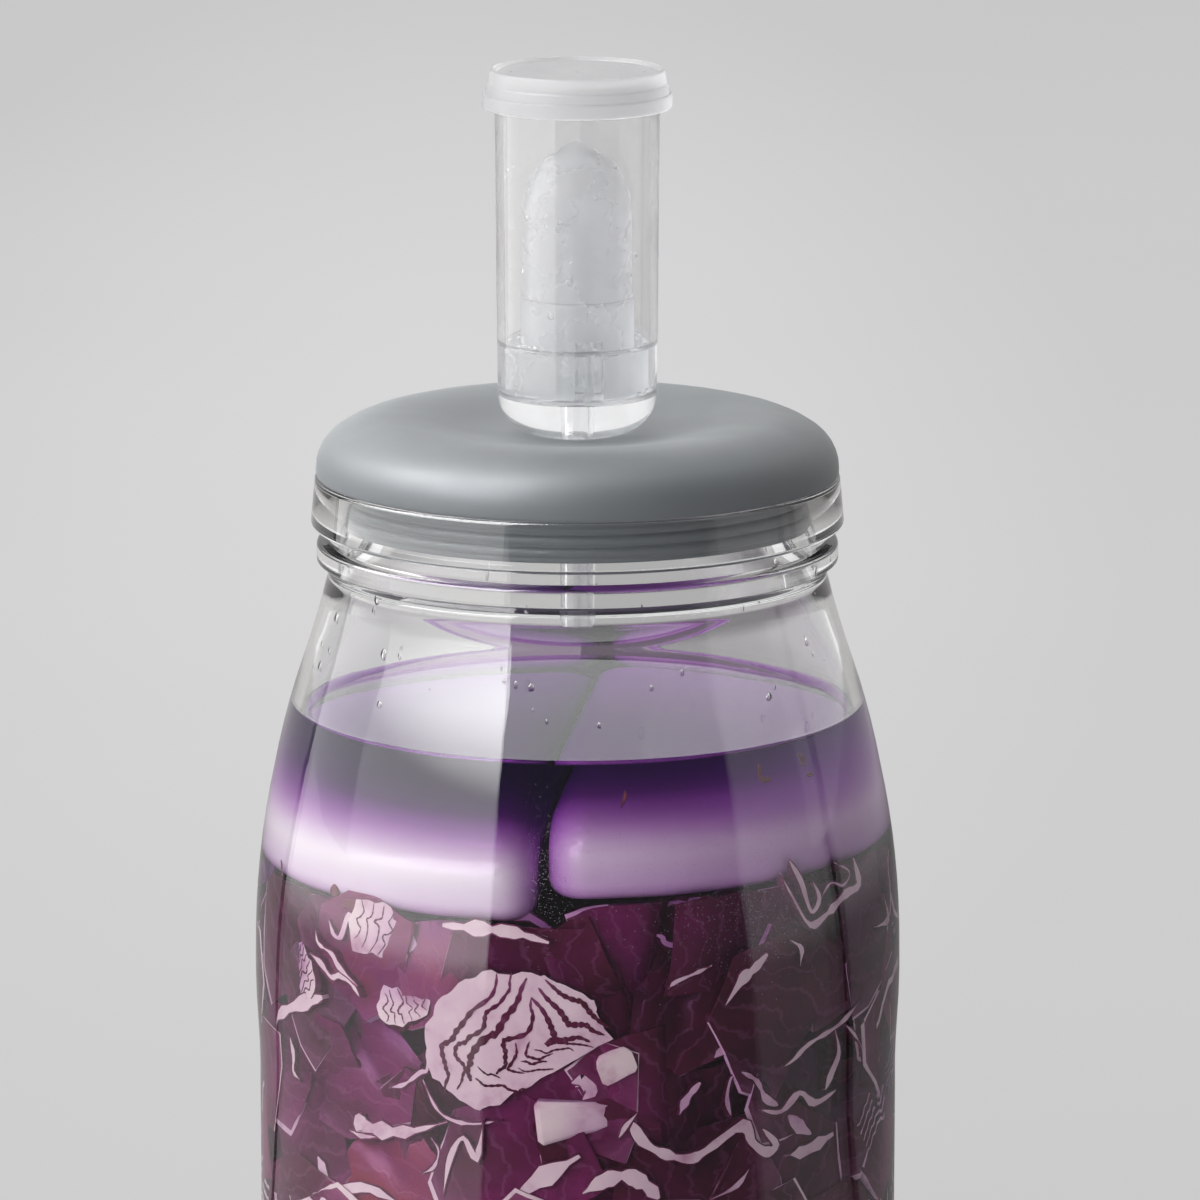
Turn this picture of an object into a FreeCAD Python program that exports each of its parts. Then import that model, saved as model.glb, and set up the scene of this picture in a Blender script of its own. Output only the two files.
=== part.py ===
import FreeCAD, Part
import math
import os
import Sketcher
from FreeCAD import Placement, Rotation, Vector

# A three litre fermentation jar: a glass jar with a pushed-in silicone lid, a
# three piece airlock standing in the lid, and cut cabbage held under its brine
# by two half-moon stones.  Origin: centre of the jar's foot, +Z up, front at -Y.

doc = FreeCAD.newDocument("fermentation_jar")
sheet = doc.addObject("Spreadsheet::Sheet", "Sizes")

SIZES = [
    # Glass jar; a drop is measured down from the mouth, a curve is a radius
    ("jar_height", 222.0, "foot to mouth"),
    ("jar_radius", 76.8, "widest place of the belly"),
    ("belly_drop", 114.3, "the widest place"),
    ("swell_length", 34.2, "gentle curve from the belly down to the lower wall"),
    ("swell_depth", 0.8, "how far the lower wall stands in from the belly"),
    ("heel_radius", 14.0, "rounding from the lower wall to the foot"),
    ("foot_width", 8.0, "flat ring that the jar stands on"),
    ("push_up", 3.0, "rise of the foot's middle"),
    ("base_thickness", 7.0, "glass under the contents"),
    ("wall", 3.0, "glass wall"),
    ("shoulder_drop", 70.5, "where the belly has turned into the shoulder"),
    ("shoulder_depth", 4.8, "how far that place stands in from the belly"),
    ("slope_drop", 45.0, "top of the shoulder"),
    ("slope_spread", 9.2, "how far the top of the shoulder stands out from the bore"),
    ("slope_curve", 180.0, "shoulder, rounded outwards"),
    ("neck_drop", 25.5, "the neck's narrowest place"),
    ("neck_wall", 3.4, "glass at the neck's narrowest place"),
    ("neck_curve", 208.0, "neck, rounded inwards"),
    ("bead_drop", 15.6, "top of the bead"),
    ("bead_height", 5.6, "bead"),
    ("bead_wall", 5.6, "glass at the bead"),
    ("bead_fillet", 4.0, "from the neck to the bead"),
    ("groove_wall", 3.4, "glass at the groove between the bead and the lip"),
    ("lip_height", 12.0, "lip"),
    ("lip_wall", 6.9, "glass at the lower edge of the lip"),
    ("lip_taper", 0.9, "how much narrower the lip is at the mouth"),
    ("bore_radius", 56.0, "inside of the neck"),
    ("glass_edge", 1.2, "rounding of the glass edges"),
    # Silicone lid
    ("lid_inset", 0.3, "how far the lid stands in from the lip's upper edge"),
    ("brim_edge", 0.7, "rounding of the brim's lower edge"),
    ("brim_height", 1.5, "upright side of the brim"),
    ("crown_height", 12.0, "crown above the brim"),
    ("crown_width", 16.0, "width of the curved side"),
    ("crown_side_curve", 10.0, "tighter curve at the side"),
    ("dish_depth", 4.0, "how far the middle lies below the crown"),
    ("seat_radius", 14.0, "flat middle under the airlock"),
    ("lid_thickness", 4.0, "silicone over the hollow of the plug"),
    ("plug_depth", 10.5, "plug below the mouth"),
    ("plug_wall", 5.0, "wall of the plug"),
    ("plug_gap", 0.3, "between the sealing ribs and the glass"),
    ("rib_rise", 0.9, "sealing ribs proud of the plug"),
    ("rib_height", 2.4, "sealing ribs"),
    ("rib_count", 3, "sealing ribs"),
    # Airlock body
    ("stem_gap", 0.2, "between the stem and the lid"),
    ("stem_radius", 4.75, "stem at the lid"),
    ("stem_tip_radius", 3.75, "stem at its lower end"),
    ("stem_length", 50.0, "stem below the seat"),
    ("airlock_radius", 19.4, "outside at the rim"),
    ("airlock_taper", 0.6, "how much narrower it is at the bottom"),
    ("airlock_height", 84.3, "seat to rim"),
    ("airlock_corner", 10.0, "round lower corner"),
    ("airlock_wall", 1.7, "wall"),
    ("airlock_base", 9.5, "thick clear bottom"),
    ("inner_corner", 3.0, "inside corner over the bottom"),
    ("tube_radius", 4.4, "gas tube in the middle"),
    ("tube_height", 40.0, "gas tube above the bottom"),
    ("tube_bore", 2.6, "hole through the tube and the stem"),
    ("water_depth", 11.5, "water over the bottom"),
    # Float
    ("float_gap", 0.3, "under the float"),
    ("float_side_gap", 3.7, "between the skirt and the airlock's wall"),
    ("float_wall", 1.2, "wall"),
    ("float_step", 0.6, "how far the barrel stands in from the skirt"),
    ("skirt_height", 22.6, "skirt"),
    ("barrel_height", 44.0, "straight side, skirt included"),
    ("barrel_curve", 16.0, "round shoulder"),
    ("cone_base", 54.9, "height of the cone's edge"),
    ("cone_radius", 7.6, "edge of the cone"),
    ("float_height", 59.5, "height of the cone's tip"),
    ("slot_width", 6.3, "slots in the skirt"),
    ("slot_height", 14.0, "slots in the skirt"),
    ("float_turn", 11.6, "turned about the tube, degrees"),
    # Cap
    ("cap_gap", 0.2, "between the cap and the body"),
    ("cap_skirt", 6.9, "skirt below the rim of the body"),
    ("flange_rise", 1.3, "lower flange proud of the cap"),
    ("flange_height", 4.2, "lower flange"),
    ("cap_wall", 1.4, "skirt above the flange"),
    ("disc_thickness", 1.4, "disc"),
    ("rim_height", 0.8, "rim round the disc"),
    ("rim_width", 1.3, "rim round the disc"),
    ("vent_radius", 0.6, "vent holes"),
    ("vent_inset", 4.1, "circle of the vent holes, in from the rim"),
    ("vent_count", 8, "vent holes on the circle"),
    # Brine, stones and cabbage
    ("brine_drop", 56.5, "brine level below the mouth"),
    ("stone_side_gap", 0.4, "between the round side and the glass of the shoulder"),
    ("stone_thickness", 25.5, "stones"),
    ("stone_foot_edge", 4.0, "soft lower edges of the stones"),
    ("stone_end_edge", 8.0, "rounder edges of the straight sides"),
    ("stone_top_edge", 18.0, "round shoulders of the stones, under the glass"),
    ("stone_space", 1.2, "between the straight sides, if the stones lay evenly"),
    ("stone_shift", -0.7, "middle of that space, to the right"),
    ("stone_turn", -5.7, "stones turned about the jar's axis, degrees"),
    ("left_forward", 1.4, "left stone, towards the front"),
    ("left_aside", -1.2, "left stone, to the right"),
    ("right_forward", -0.6, "right stone, towards the front"),
    ("right_aside", 0.0, "right stone, to the right"),
    ("left_cover", 10.5, "brine over the left stone"),
    ("right_cover", 5.3, "brine over the right stone"),
    ("heap_gap", 1.2, "brine between the cabbage and the glass"),
    ("heap_swell", 3.0, "unevenness of the cabbage's top"),
    ("heap_bite", 0.8, "how far the highest leaves press round a stone"),
    ("hollow_radius", 11.0, "hollows between the leaves at the glass"),
    ("hollow_depth", 3.0, "hollows between the leaves at the glass"),
    ("hollow_count", 26, "hollows between the leaves at the glass"),
]

for line, (alias, value, note) in enumerate(SIZES, start=1):
    sheet.set(f"A{line}", note)
    sheet.set(f"B{line}", str(value))
    sheet.setAlias(f"B{line}", alias)
doc.recompute()


class Size:
    """A length: its value now, and the same sum as an expression of the sheet."""

    def __init__(self, value, text):
        self.value = value
        self.text = text

    def _with(self, sign, other, value):
        return Size(value, f"({self.text} {sign} {as_size(other).text})")

    def __add__(self, other):
        return self._with("+", other, self.value + as_size(other).value)

    def __sub__(self, other):
        return self._with("-", other, self.value - as_size(other).value)

    def __mul__(self, other):
        return self._with("*", other, self.value * as_size(other).value)

    def __truediv__(self, other):
        return self._with("/", other, self.value / as_size(other).value)


def as_size(number):
    """A plain number becomes a Size; a Size stays as it is."""
    if isinstance(number, Size):
        return number
    return Size(float(number), str(float(number)))


def size(alias):
    return Size(float(sheet.get(alias)), f"Sizes.{alias}")


ZERO = as_size(0)


def tangent_curve(along, across):
    """Radius of the arc that starts along a line and leaves it by a distance."""
    return (along * along + across * across) / (across * 2)


# ------------------------------------------------------------ sketch helpers

def origin_feature(body, role):
    return next(part for part in body.Origin.OriginFeatures if part.Role == role)


def new_body(label):
    body = doc.addObject("PartDesign::Body", label)
    body.Label = label
    return body


def new_sketch(body, name, plane):
    sketch = body.newObject("Sketcher::SketchObject", name)
    sketch.AttachmentSupport = [(origin_feature(body, plane), "")]
    sketch.MapMode = "FlatFace"
    return sketch


def arc_between(start, end, radius, side):
    """The shorter arc from start to end, turning to its left or right."""
    chord = end - start
    reach = math.sqrt(radius ** 2 - (chord.Length / 2) ** 2)
    if side == "right":
        start, end, chord = end, start, chord * -1
    centre = (start + end) * 0.5 + Vector(-chord.y, chord.x, 0).normalize() * reach
    from_angle = math.atan2(start.y - centre.y, start.x - centre.x)
    to_angle = math.atan2(end.y - centre.y, end.x - centre.x)
    if to_angle < from_angle:
        to_angle += 2 * math.pi
    return Part.ArcOfCircle(Part.Circle(centre, Vector(0, 0, 1), radius), from_angle, to_angle)


def bind(sketch, kind, places, length):
    """Add a driving constraint whose length follows the sheet."""
    index = sketch.addConstraint(Sketcher.Constraint(kind, *places, length.value))
    sketch.setExpression(f"Constraints[{index}]", length.text)


def hold(sketch, edge, end, axis, kind, length):
    """Hold an edge's end at a distance from an axis, or on it."""
    if length is ZERO:
        sketch.addConstraint(Sketcher.Constraint("PointOnObject", edge, end, axis))
    else:
        bind(sketch, kind, (-1, 1, edge, end), length)


def draw_outline(sketch, corners):
    """Draw a closed outline through corners (x, y) or (x, y, radius, side).

    The radius and the side belong to the arc that leaves the corner.
    """
    points = [Vector(corner[0].value, corner[1].value, 0) for corner in corners]
    edges = []
    for index, corner in enumerate(corners):
        start = points[index]
        end = points[(index + 1) % len(points)]
        if len(corner) == 2:
            edges.append((sketch.addGeometry(Part.LineSegment(start, end)), 1, 2))
            continue
        radius, side = corner[2:]
        edge = sketch.addGeometry(arc_between(start, end, radius.value, side))
        bind(sketch, "Radius", (edge,), radius)
        edges.append((edge, 1, 2) if side == "left" else (edge, 2, 1))
    for index, corner in enumerate(corners):
        edge, first, _ = edges[index]
        before, _, last = edges[index - 1]
        sketch.addConstraint(Sketcher.Constraint("Coincident", before, last, edge, first))
        hold(sketch, edge, first, -2, "DistanceX", corner[0])
        hold(sketch, edge, first, -1, "DistanceY", corner[1])


def turn_outline(body, kind, name, corners):
    """Turn an outline of (radius, height) corners once round the Z axis."""
    sketch = new_sketch(body, name + "_outline", "XZ_Plane")
    draw_outline(sketch, corners)
    feature = body.newObject(kind, name)
    feature.Profile = sketch
    feature.ReferenceAxis = (sketch, ["V_Axis"])
    feature.Angle = 360
    return feature


def cut_through(body, sketch, name):
    """Cut a sketch through the whole body, to both sides of its plane."""
    doc.recompute()
    before = body.Shape.Volume
    pocket = body.newObject("PartDesign::Pocket", name)
    pocket.Profile = sketch
    pocket.Type = "ThroughAll"
    pocket.Midplane = True
    doc.recompute()
    if body.Shape.Volume >= before:
        raise RuntimeError(f"{name} cuts nothing")
    return pocket


def repeat_round(body, feature, name, count, angle):
    """Repeat a feature round the Z axis."""
    pattern = body.newObject("PartDesign::PolarPattern", name)
    pattern.Originals = [feature]
    pattern.Axis = (origin_feature(body, "Z_Axis"), [""])
    pattern.Angle = angle
    pattern.setExpression("Occurrences", count.text)
    body.Tip = pattern


# ---------------------------------------------------------------- glass jar

mouth = size("jar_height")
wall = size("wall")
bore = size("bore_radius")
floor = size("base_thickness")
heel = size("heel_radius")
body_radius = size("jar_radius") - size("swell_depth")
glass_edge = size("glass_edge")
lip_radius = bore + size("lip_wall")
lip_top_radius = lip_radius - size("lip_taper")


def jar_side(inset):
    """Corners of the belly and shoulder, from the lower wall up to the neck."""
    belly = mouth - size("belly_drop")
    half_swell = size("swell_length") / 2
    half_depth = size("swell_depth") / 2
    swell_curve = tangent_curve(half_swell, half_depth)
    shoulder_rise = size("belly_drop") - size("shoulder_drop")
    shoulder_curve = tangent_curve(shoulder_rise, size("shoulder_depth"))
    jar_radius = size("jar_radius") - inset
    return [
        (jar_radius - size("swell_depth"), belly - half_swell * 2, swell_curve, "right"),
        (jar_radius - half_depth, belly - half_swell, swell_curve, "left"),
        (jar_radius, belly, shoulder_curve, "left"),
        (jar_radius - size("shoulder_depth"), belly + shoulder_rise, size("slope_curve"), "left"),
        (bore + size("slope_spread") - inset, mouth - size("slope_drop"), size("neck_curve"), "right"),
    ]


def cavity_side(inset):
    """The inside of the jar from its floor up to the neck, held in from the glass."""
    inner_heel = heel - wall
    return [
        (ZERO, floor + size("push_up") / 2 + inset),
        (body_radius - wall - inner_heel, floor + inset, inner_heel - inset, "left"),
        (body_radius - wall - inset, floor + inner_heel),
        *jar_side(wall + inset),
        (bore - inset, mouth - size("neck_drop")),
    ]


def make_jar():
    body = new_body("jar")
    foot_edge = body_radius - heel
    foot_inner = foot_edge - size("foot_width")
    lip_foot = mouth - size("lip_height")
    bead_top = mouth - size("bead_drop")
    bead_foot = bead_top - size("bead_height")
    bead_radius = bore + size("bead_wall")
    groove_radius = bore + size("groove_wall")
    turn_outline(body, "PartDesign::Revolution", "glass", [
        (ZERO, size("push_up")),
        (foot_inner, ZERO),
        (foot_edge, ZERO, heel, "left"),
        (body_radius, heel),
        *jar_side(ZERO),
        (bore + size("neck_wall"), mouth - size("neck_drop"), size("bead_fillet"), "right"),
        (bead_radius, bead_foot + glass_edge),
        (bead_radius, bead_top - glass_edge, glass_edge, "left"),
        (bead_radius - glass_edge, bead_top),
        (groove_radius, bead_top + glass_edge / 2),
        (groove_radius, lip_foot - glass_edge / 2),
        (lip_radius - glass_edge, lip_foot, glass_edge, "left"),
        (lip_radius, lip_foot + glass_edge),
        (lip_top_radius, mouth - glass_edge, glass_edge, "left"),
        (lip_top_radius - glass_edge, mouth),
        (ZERO, mouth),
    ])
    doc.recompute()
    before = body.Shape.Volume
    turn_outline(body, "PartDesign::Groove", "inside", [
        *cavity_side(ZERO),
        (bore, mouth - glass_edge, glass_edge, "right"),
        (bore + glass_edge, mouth),
        (bore + glass_edge, mouth + glass_edge),
        (ZERO, mouth + glass_edge),
    ])
    doc.recompute()
    if body.Shape.Volume > before / 2:
        raise RuntimeError("the inside of the jar isn't cut")
    return body


# ---------------------------------------------------------------- silicone lid

lid_radius = lip_top_radius - size("lid_inset")
brim = mouth + size("brim_height")
crown = brim + size("crown_height")
seat = crown - size("dish_depth")


def crown_corners():
    """The lid's top, from its upright side over the crown to the flat seat."""
    width = size("crown_width")
    height = size("crown_height")
    side = size("crown_side_curve")
    run = width - side
    top = (run * run + height * height - side * side) / ((height - side) * 2)
    share = side / (top - side)
    meet_radius = lid_radius - width + run + run * share
    meet_height = brim + (top - height) * share
    half_run = (lid_radius - width - size("seat_radius")) / 2
    half_dip = size("dish_depth") / 2
    dish = tangent_curve(half_run, half_dip)
    return [
        (lid_radius, brim, side, "left"),
        (meet_radius, meet_height, top, "left"),
        (lid_radius - width, crown, dish, "left"),
        (size("seat_radius") + half_run, crown - half_dip, dish, "right"),
        (size("seat_radius"), seat),
    ]


def plug_ribs(root):
    """The plug's outside from the brim down, with its round sealing ribs."""
    rib = size("rib_height")
    bulge = tangent_curve(rib / 2, size("rib_rise"))
    count = int(size("rib_count").value)
    pitch = (size("plug_depth") - rib) / count
    corners = []
    for number in range(count):
        rib_foot = mouth - size("plug_depth") + rib / 2 + pitch * number
        corners += [(root, rib_foot, bulge, "left"), (root, rib_foot + rib)]
    return corners


def make_lid():
    body = new_body("lid")
    hole = size("stem_radius") + size("stem_gap")
    root = bore - size("plug_gap") - size("rib_rise")
    plug_foot = mouth - size("plug_depth")
    hollow = root - size("plug_wall")
    thickness = size("lid_thickness")
    edge = size("brim_edge")
    turn_outline(body, "PartDesign::Revolution", "silicone", [
        (hole, seat - thickness),
        (size("seat_radius"), seat - thickness),
        (hollow - thickness, crown - thickness * 1.5),
        (hollow, crown - thickness * 2.5),
        (hollow, plug_foot),
        (root, plug_foot),
        *plug_ribs(root),
        (root, mouth),
        (lid_radius - edge, mouth, edge, "left"),
        (lid_radius, mouth + edge),
        *crown_corners(),
        (hole, seat),
    ])
    return body


# ---------------------------------------------------------------- airlock

airlock_rim = seat + size("airlock_height")
airlock_floor = seat + size("airlock_base")
airlock_inside = size("airlock_radius") - size("airlock_taper") - size("airlock_wall")
skirt_radius = airlock_inside - size("float_side_gap")


def make_airlock_body():
    body = new_body("airlock_body")
    bottom_radius = size("airlock_radius") - size("airlock_taper")
    corner = size("airlock_corner")
    inner_corner = size("inner_corner")
    stem_tip = seat - size("stem_length")
    tube_top = airlock_floor + size("tube_height")
    turn_outline(body, "PartDesign::Revolution", "clear_plastic", [
        (size("tube_bore"), stem_tip),
        (size("stem_tip_radius"), stem_tip),
        (size("stem_radius"), seat),
        (bottom_radius - corner, seat, corner, "left"),
        (bottom_radius, seat + corner),
        (size("airlock_radius"), airlock_rim),
        (size("airlock_radius") - size("airlock_wall"), airlock_rim),
        (airlock_inside, airlock_floor + inner_corner, inner_corner, "right"),
        (airlock_inside - inner_corner, airlock_floor),
        (size("tube_radius"), airlock_floor),
        (size("tube_radius"), tube_top),
        (size("tube_bore"), tube_top),
    ])
    return body


def make_float():
    body = new_body("airlock_float")
    foot = airlock_floor + size("float_gap")
    wall_thickness = size("float_wall")
    step = size("float_step")
    barrel = skirt_radius - step
    curve = size("barrel_curve")
    skirt_top = foot + size("skirt_height")
    barrel_top = foot + size("barrel_height")
    cone_base = foot + size("cone_base")
    turn_outline(body, "PartDesign::Revolution", "shell", [
        (skirt_radius - wall_thickness, foot),
        (skirt_radius, foot),
        (skirt_radius, skirt_top),
        (barrel, skirt_top + step),
        (barrel, barrel_top, curve, "left"),
        (size("cone_radius"), cone_base),
        (ZERO, foot + size("float_height")),
        (ZERO, foot + size("float_height") - wall_thickness),
        (size("cone_radius") - wall_thickness / 2, cone_base - wall_thickness, curve, "right"),
        (barrel - wall_thickness, barrel_top - wall_thickness / 2),
        (barrel - wall_thickness, skirt_top),
        (skirt_radius - wall_thickness, skirt_top - step),
    ])
    slot = new_sketch(body, "slot_outline", "XZ_Plane")
    half_width = size("slot_width") / 2
    left = ZERO - half_width
    draw_outline(slot, [
        (left, foot - wall_thickness),
        (half_width, foot - wall_thickness),
        (half_width, foot + size("slot_height")),
        (left, foot + size("slot_height")),
    ])
    slots = cut_through(body, slot, "front_and_back_slot")
    repeat_round(body, slots, "all_slots", as_size(2), 90)
    body.Placement = Placement(Vector(), Rotation(Vector(0, 0, 1), size("float_turn").value))
    body.setExpression("Placement.Rotation.Angle", "Sizes.float_turn")
    return body


def make_cap():
    body = new_body("airlock_cap")
    inside = size("airlock_radius") + size("cap_gap")
    cap_radius = inside + size("cap_wall")
    flange_radius = cap_radius + size("flange_rise")
    vent_circle = cap_radius - size("rim_width") - size("vent_inset")
    skirt_foot = airlock_rim - size("cap_skirt")
    flange_top = skirt_foot + size("flange_height")
    disc = airlock_rim + size("disc_thickness")
    rim_top = disc + size("rim_height")
    soft = size("rim_height") / 2
    turn_outline(body, "PartDesign::Revolution", "soft_plastic", [
        (inside, airlock_rim),
        (inside, skirt_foot),
        (flange_radius - soft, skirt_foot, soft, "left"),
        (flange_radius, skirt_foot + soft),
        (flange_radius, flange_top - soft, soft, "left"),
        (flange_radius - soft, flange_top),
        (cap_radius, flange_top),
        (cap_radius, rim_top - soft, soft, "left"),
        (cap_radius - soft, rim_top),
        (cap_radius - size("rim_width"), rim_top),
        (cap_radius - size("rim_width"), disc),
        (ZERO, disc),
        (ZERO, airlock_rim),
    ])
    middle = new_sketch(body, "middle_vent_outline", "XY_Plane")
    hole = middle.addGeometry(Part.Circle(Vector(), Vector(0, 0, 1), size("vent_radius").value))
    middle.addConstraint(Sketcher.Constraint("Coincident", hole, 3, -1, 1))
    bind(middle, "Radius", (hole,), size("vent_radius"))
    cut_through(body, middle, "middle_vent")
    outer = new_sketch(body, "vent_outline", "XY_Plane")
    centre = Vector(vent_circle.value, 0, 0)
    hole = outer.addGeometry(Part.Circle(centre, Vector(0, 0, 1), size("vent_radius").value))
    bind(outer, "DistanceX", (-1, 1, hole, 3), vent_circle)
    outer.addConstraint(Sketcher.Constraint("PointOnObject", hole, 3, -1))
    bind(outer, "Radius", (hole,), size("vent_radius"))
    vent = cut_through(body, outer, "vent")
    repeat_round(body, vent, "ring_of_vents", size("vent_count"), 360)
    return body


def make_airlock_water(float_body):
    """Water round the tube, up to its level, without the float's wall."""
    blank = new_body("water_blank")
    level = airlock_floor + size("water_depth")
    corner = size("inner_corner")
    rise = size("airlock_height") - size("airlock_base") - corner
    widening = size("airlock_taper") * (size("water_depth") - corner) / rise
    turn_outline(blank, "PartDesign::Revolution", "water_ring", [
        (size("tube_radius"), airlock_floor),
        (airlock_inside - corner, airlock_floor, corner, "left"),
        (airlock_inside, airlock_floor + corner),
        (airlock_inside + widening, level),
        (size("tube_radius"), level),
    ])
    water = doc.addObject("Part::Cut", "airlock_water")
    water.Label = "airlock_water"
    water.Base = blank
    water.Tool = float_body
    return water


# ------------------------------------------------------ stones, cabbage, brine

brine_level = mouth - size("brine_drop")
LEVEL_MARGIN = 0.01


def soften(body, name, radius, chosen):
    """Fillet the edges of the body that a test on their boxes picks."""
    base = body.Tip
    fillet = body.newObject("PartDesign::Fillet", name)
    edges = [
        f"Edge{index}"
        for index, edge in enumerate(base.Shape.Edges, start=1)
        if chosen(edge.BoundBox)
    ]
    fillet.Base = (base, edges)
    fillet.setExpression("Radius", f"Sizes.{radius}")
    doc.recompute()


def make_stone(label, side, cover, forward, aside):
    """A half-moon stone: side is 1 for the right one and -1 for the left one."""
    body = new_body(label)
    thickness = size("stone_thickness")
    top_edge = size("stone_top_edge")
    shoulder_inside = size("jar_radius") - size("shoulder_depth") - wall
    radius = shoulder_inside - size("stone_side_gap")
    turn_outline(body, "PartDesign::Revolution", label + "_disc", [
        (ZERO, ZERO),
        (radius, ZERO),
        (radius, thickness - top_edge, top_edge, "left"),
        (radius - top_edge, thickness),
        (ZERO, thickness),
    ])
    straight = size("stone_space") / 2 * side
    beyond = size("jar_radius")
    half = new_sketch(body, label + "_other_half", "XY_Plane")
    draw_outline(half, [
        (straight, ZERO - beyond),
        (straight, beyond),
        (ZERO - beyond * side, beyond),
        (ZERO - beyond * side, ZERO - beyond),
    ])
    cut_through(body, half, label + "_straight_side")
    soften(body, label + "_ends", "stone_end_edge", lambda box: (
        max(abs(box.XMin - straight.value), abs(box.XMax - straight.value)) < LEVEL_MARGIN
        and box.ZMax > LEVEL_MARGIN
    ))
    soften(body, label + "_foot", "stone_foot_edge", lambda box: box.ZMax < LEVEL_MARGIN)
    height = brine_level - size(cover) - thickness
    shift = size("stone_shift") + size(aside)
    body.Placement = Placement(
        Vector(shift.value, -size(forward).value, height.value),
        Rotation(Vector(0, 0, 1), size("stone_turn").value),
    )
    body.setExpression("Placement.Base.x", shift.text)
    body.setExpression("Placement.Base.y", f"-Sizes.{forward}")
    body.setExpression("Placement.Base.z", height.text)
    body.setExpression("Placement.Rotation.Angle", "Sizes.stone_turn")
    return body


def make_cavity(label, inset):
    """The inside of the jar up to the neck, held in from the glass."""
    body = new_body(label)
    turn_outline(body, "PartDesign::Revolution", label + "_room", [
        *cavity_side(inset),
        (ZERO, mouth - size("neck_drop")),
    ])
    return body


# The heap's top, in jar radii and radians: long waves of leaves, shorter ripples
# across them and their shares of the swell; and how soon the heap rises from the
# left stone's foot to the right one's.
WAVES = (7.1, 1.3, 6.2, -0.4, 0.7)
RIPPLES = (13.7, 0.0, 12.1, 0.8, 0.3)
RISE = 4.0
HEAP_GRID = 24
HEAP_OVERHANG = 1.1


def swell_at(across, along, kind):
    """One family of waves at a place, from -share to share."""
    turns_across, start_across, turns_along, start_along, share = kind
    wave = math.sin(turns_across * across + start_across)
    return share * wave * math.cos(turns_along * along + start_along)


def heap_height(x, y, middle, step):
    """Uneven top of the cabbage: waves of leaves, higher under the right stone."""
    reach = size("jar_radius").value
    across = x / reach
    along = y / reach
    waves = swell_at(across, along, WAVES)
    ripples = swell_at(across + along, across - along, RIPPLES)
    rise = step / 2 * math.tanh(RISE * across)
    return middle + rise + size("heap_swell").value * (waves + ripples - 1)


def make_heap(blank, stones):
    """The heap of cut cabbage, uneven on top and hollowed between its leaves."""
    left, right = (stone.Shape.BoundBox.ZMin for stone in stones)
    middle = (left + right) / 2 + size("heap_bite").value
    reach = size("jar_radius").value * HEAP_OVERHANG
    ticks = [reach * (2 * index / HEAP_GRID - 1) for index in range(HEAP_GRID + 1)]
    top = Part.BSplineSurface()
    step = right - left
    top.interpolate([[Vector(x, y, heap_height(x, y, middle, step)) for y in ticks] for x in ticks])
    below = top.toShape().extrude(Vector(0, 0, -2 * size("jar_height").value))
    heap = blank.Shape.common(below)

    hollow_radius = size("hollow_radius").value
    distance = size("jar_radius").value - wall.value - size("hollow_depth").value + hollow_radius
    count = int(size("hollow_count").value)
    lowest = floor.value + heel.value
    highest = min(left, right) - hollow_radius
    golden_turn = math.pi * (3 - math.sqrt(5))
    hollows = []
    for number in range(count):
        height = lowest + (highest - lowest) * (number + 0.5) / count
        angle = number * golden_turn
        centre = Vector(distance * math.cos(angle), distance * math.sin(angle), height)
        hollows.append(Part.makeSphere(hollow_radius, centre))
    heap = heap.cut(hollows)

    leaves = doc.addObject("Part::Feature", "heap_of_leaves")
    leaves.Shape = max(heap.Solids, key=lambda solid: solid.Volume)
    return leaves


def take_out(base, pieces, label):
    """What is left of a piece without the pieces that share its room."""
    for piece in pieces:
        rest = doc.addObject("Part::Cut", f"{label}_without_{piece.Label}")
        rest.Base = base
        rest.Tool = piece
        base = rest
    base.Label = label
    return base


def fill_to_level(room):
    """The room inside the jar, up to the brine's level."""
    tank = doc.addObject("Part::Cylinder", "brine_tank")
    tank.setExpression("Radius", "Sizes.jar_radius")
    tank.setExpression("Height", brine_level.text)
    full = doc.addObject("Part::Common", "brine_full")
    full.Base = room
    full.Tool = tank
    return full


jar = make_jar()
lid = make_lid()
airlock_body = make_airlock_body()
airlock_float = make_float()
airlock_cap = make_cap()
airlock_water = make_airlock_water(airlock_float)
stone_left = make_stone("stone_left", -1, "left_cover", "left_forward", "left_aside")
stone_right = make_stone("stone_right", 1, "right_cover", "right_forward", "right_aside")
room = make_cavity("brine_room", ZERO)
heap_blank = make_cavity("heap_blank", size("heap_gap"))
doc.recompute()
heap = make_heap(heap_blank, [stone_left, stone_right])
cabbage = take_out(heap, [stone_left, stone_right], "cabbage")
brine = take_out(fill_to_level(room), [heap, stone_left, stone_right], "brine")
doc.recompute()

for item in doc.Objects:
    if "Invalid" in item.State or "Error" in item.State:
        raise RuntimeError(f"{item.Label} has failed: {item.State}")

pieces = [
    jar, lid, airlock_body, airlock_float, airlock_cap, airlock_water,
    brine, cabbage, stone_left, stone_right,
]
os.makedirs("parts", exist_ok=True)
for piece in pieces:
    if piece.Shape.isNull() or not piece.Shape.isValid():
        raise RuntimeError(f"{piece.Label} has no valid shape")
    print(piece.Label, len(piece.Shape.Solids), round(piece.Shape.Volume))
    piece.Shape.exportStep(f"parts/{piece.Label}.step")
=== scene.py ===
import math
import random

import bpy
from mathutils import Matrix, Vector


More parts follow.
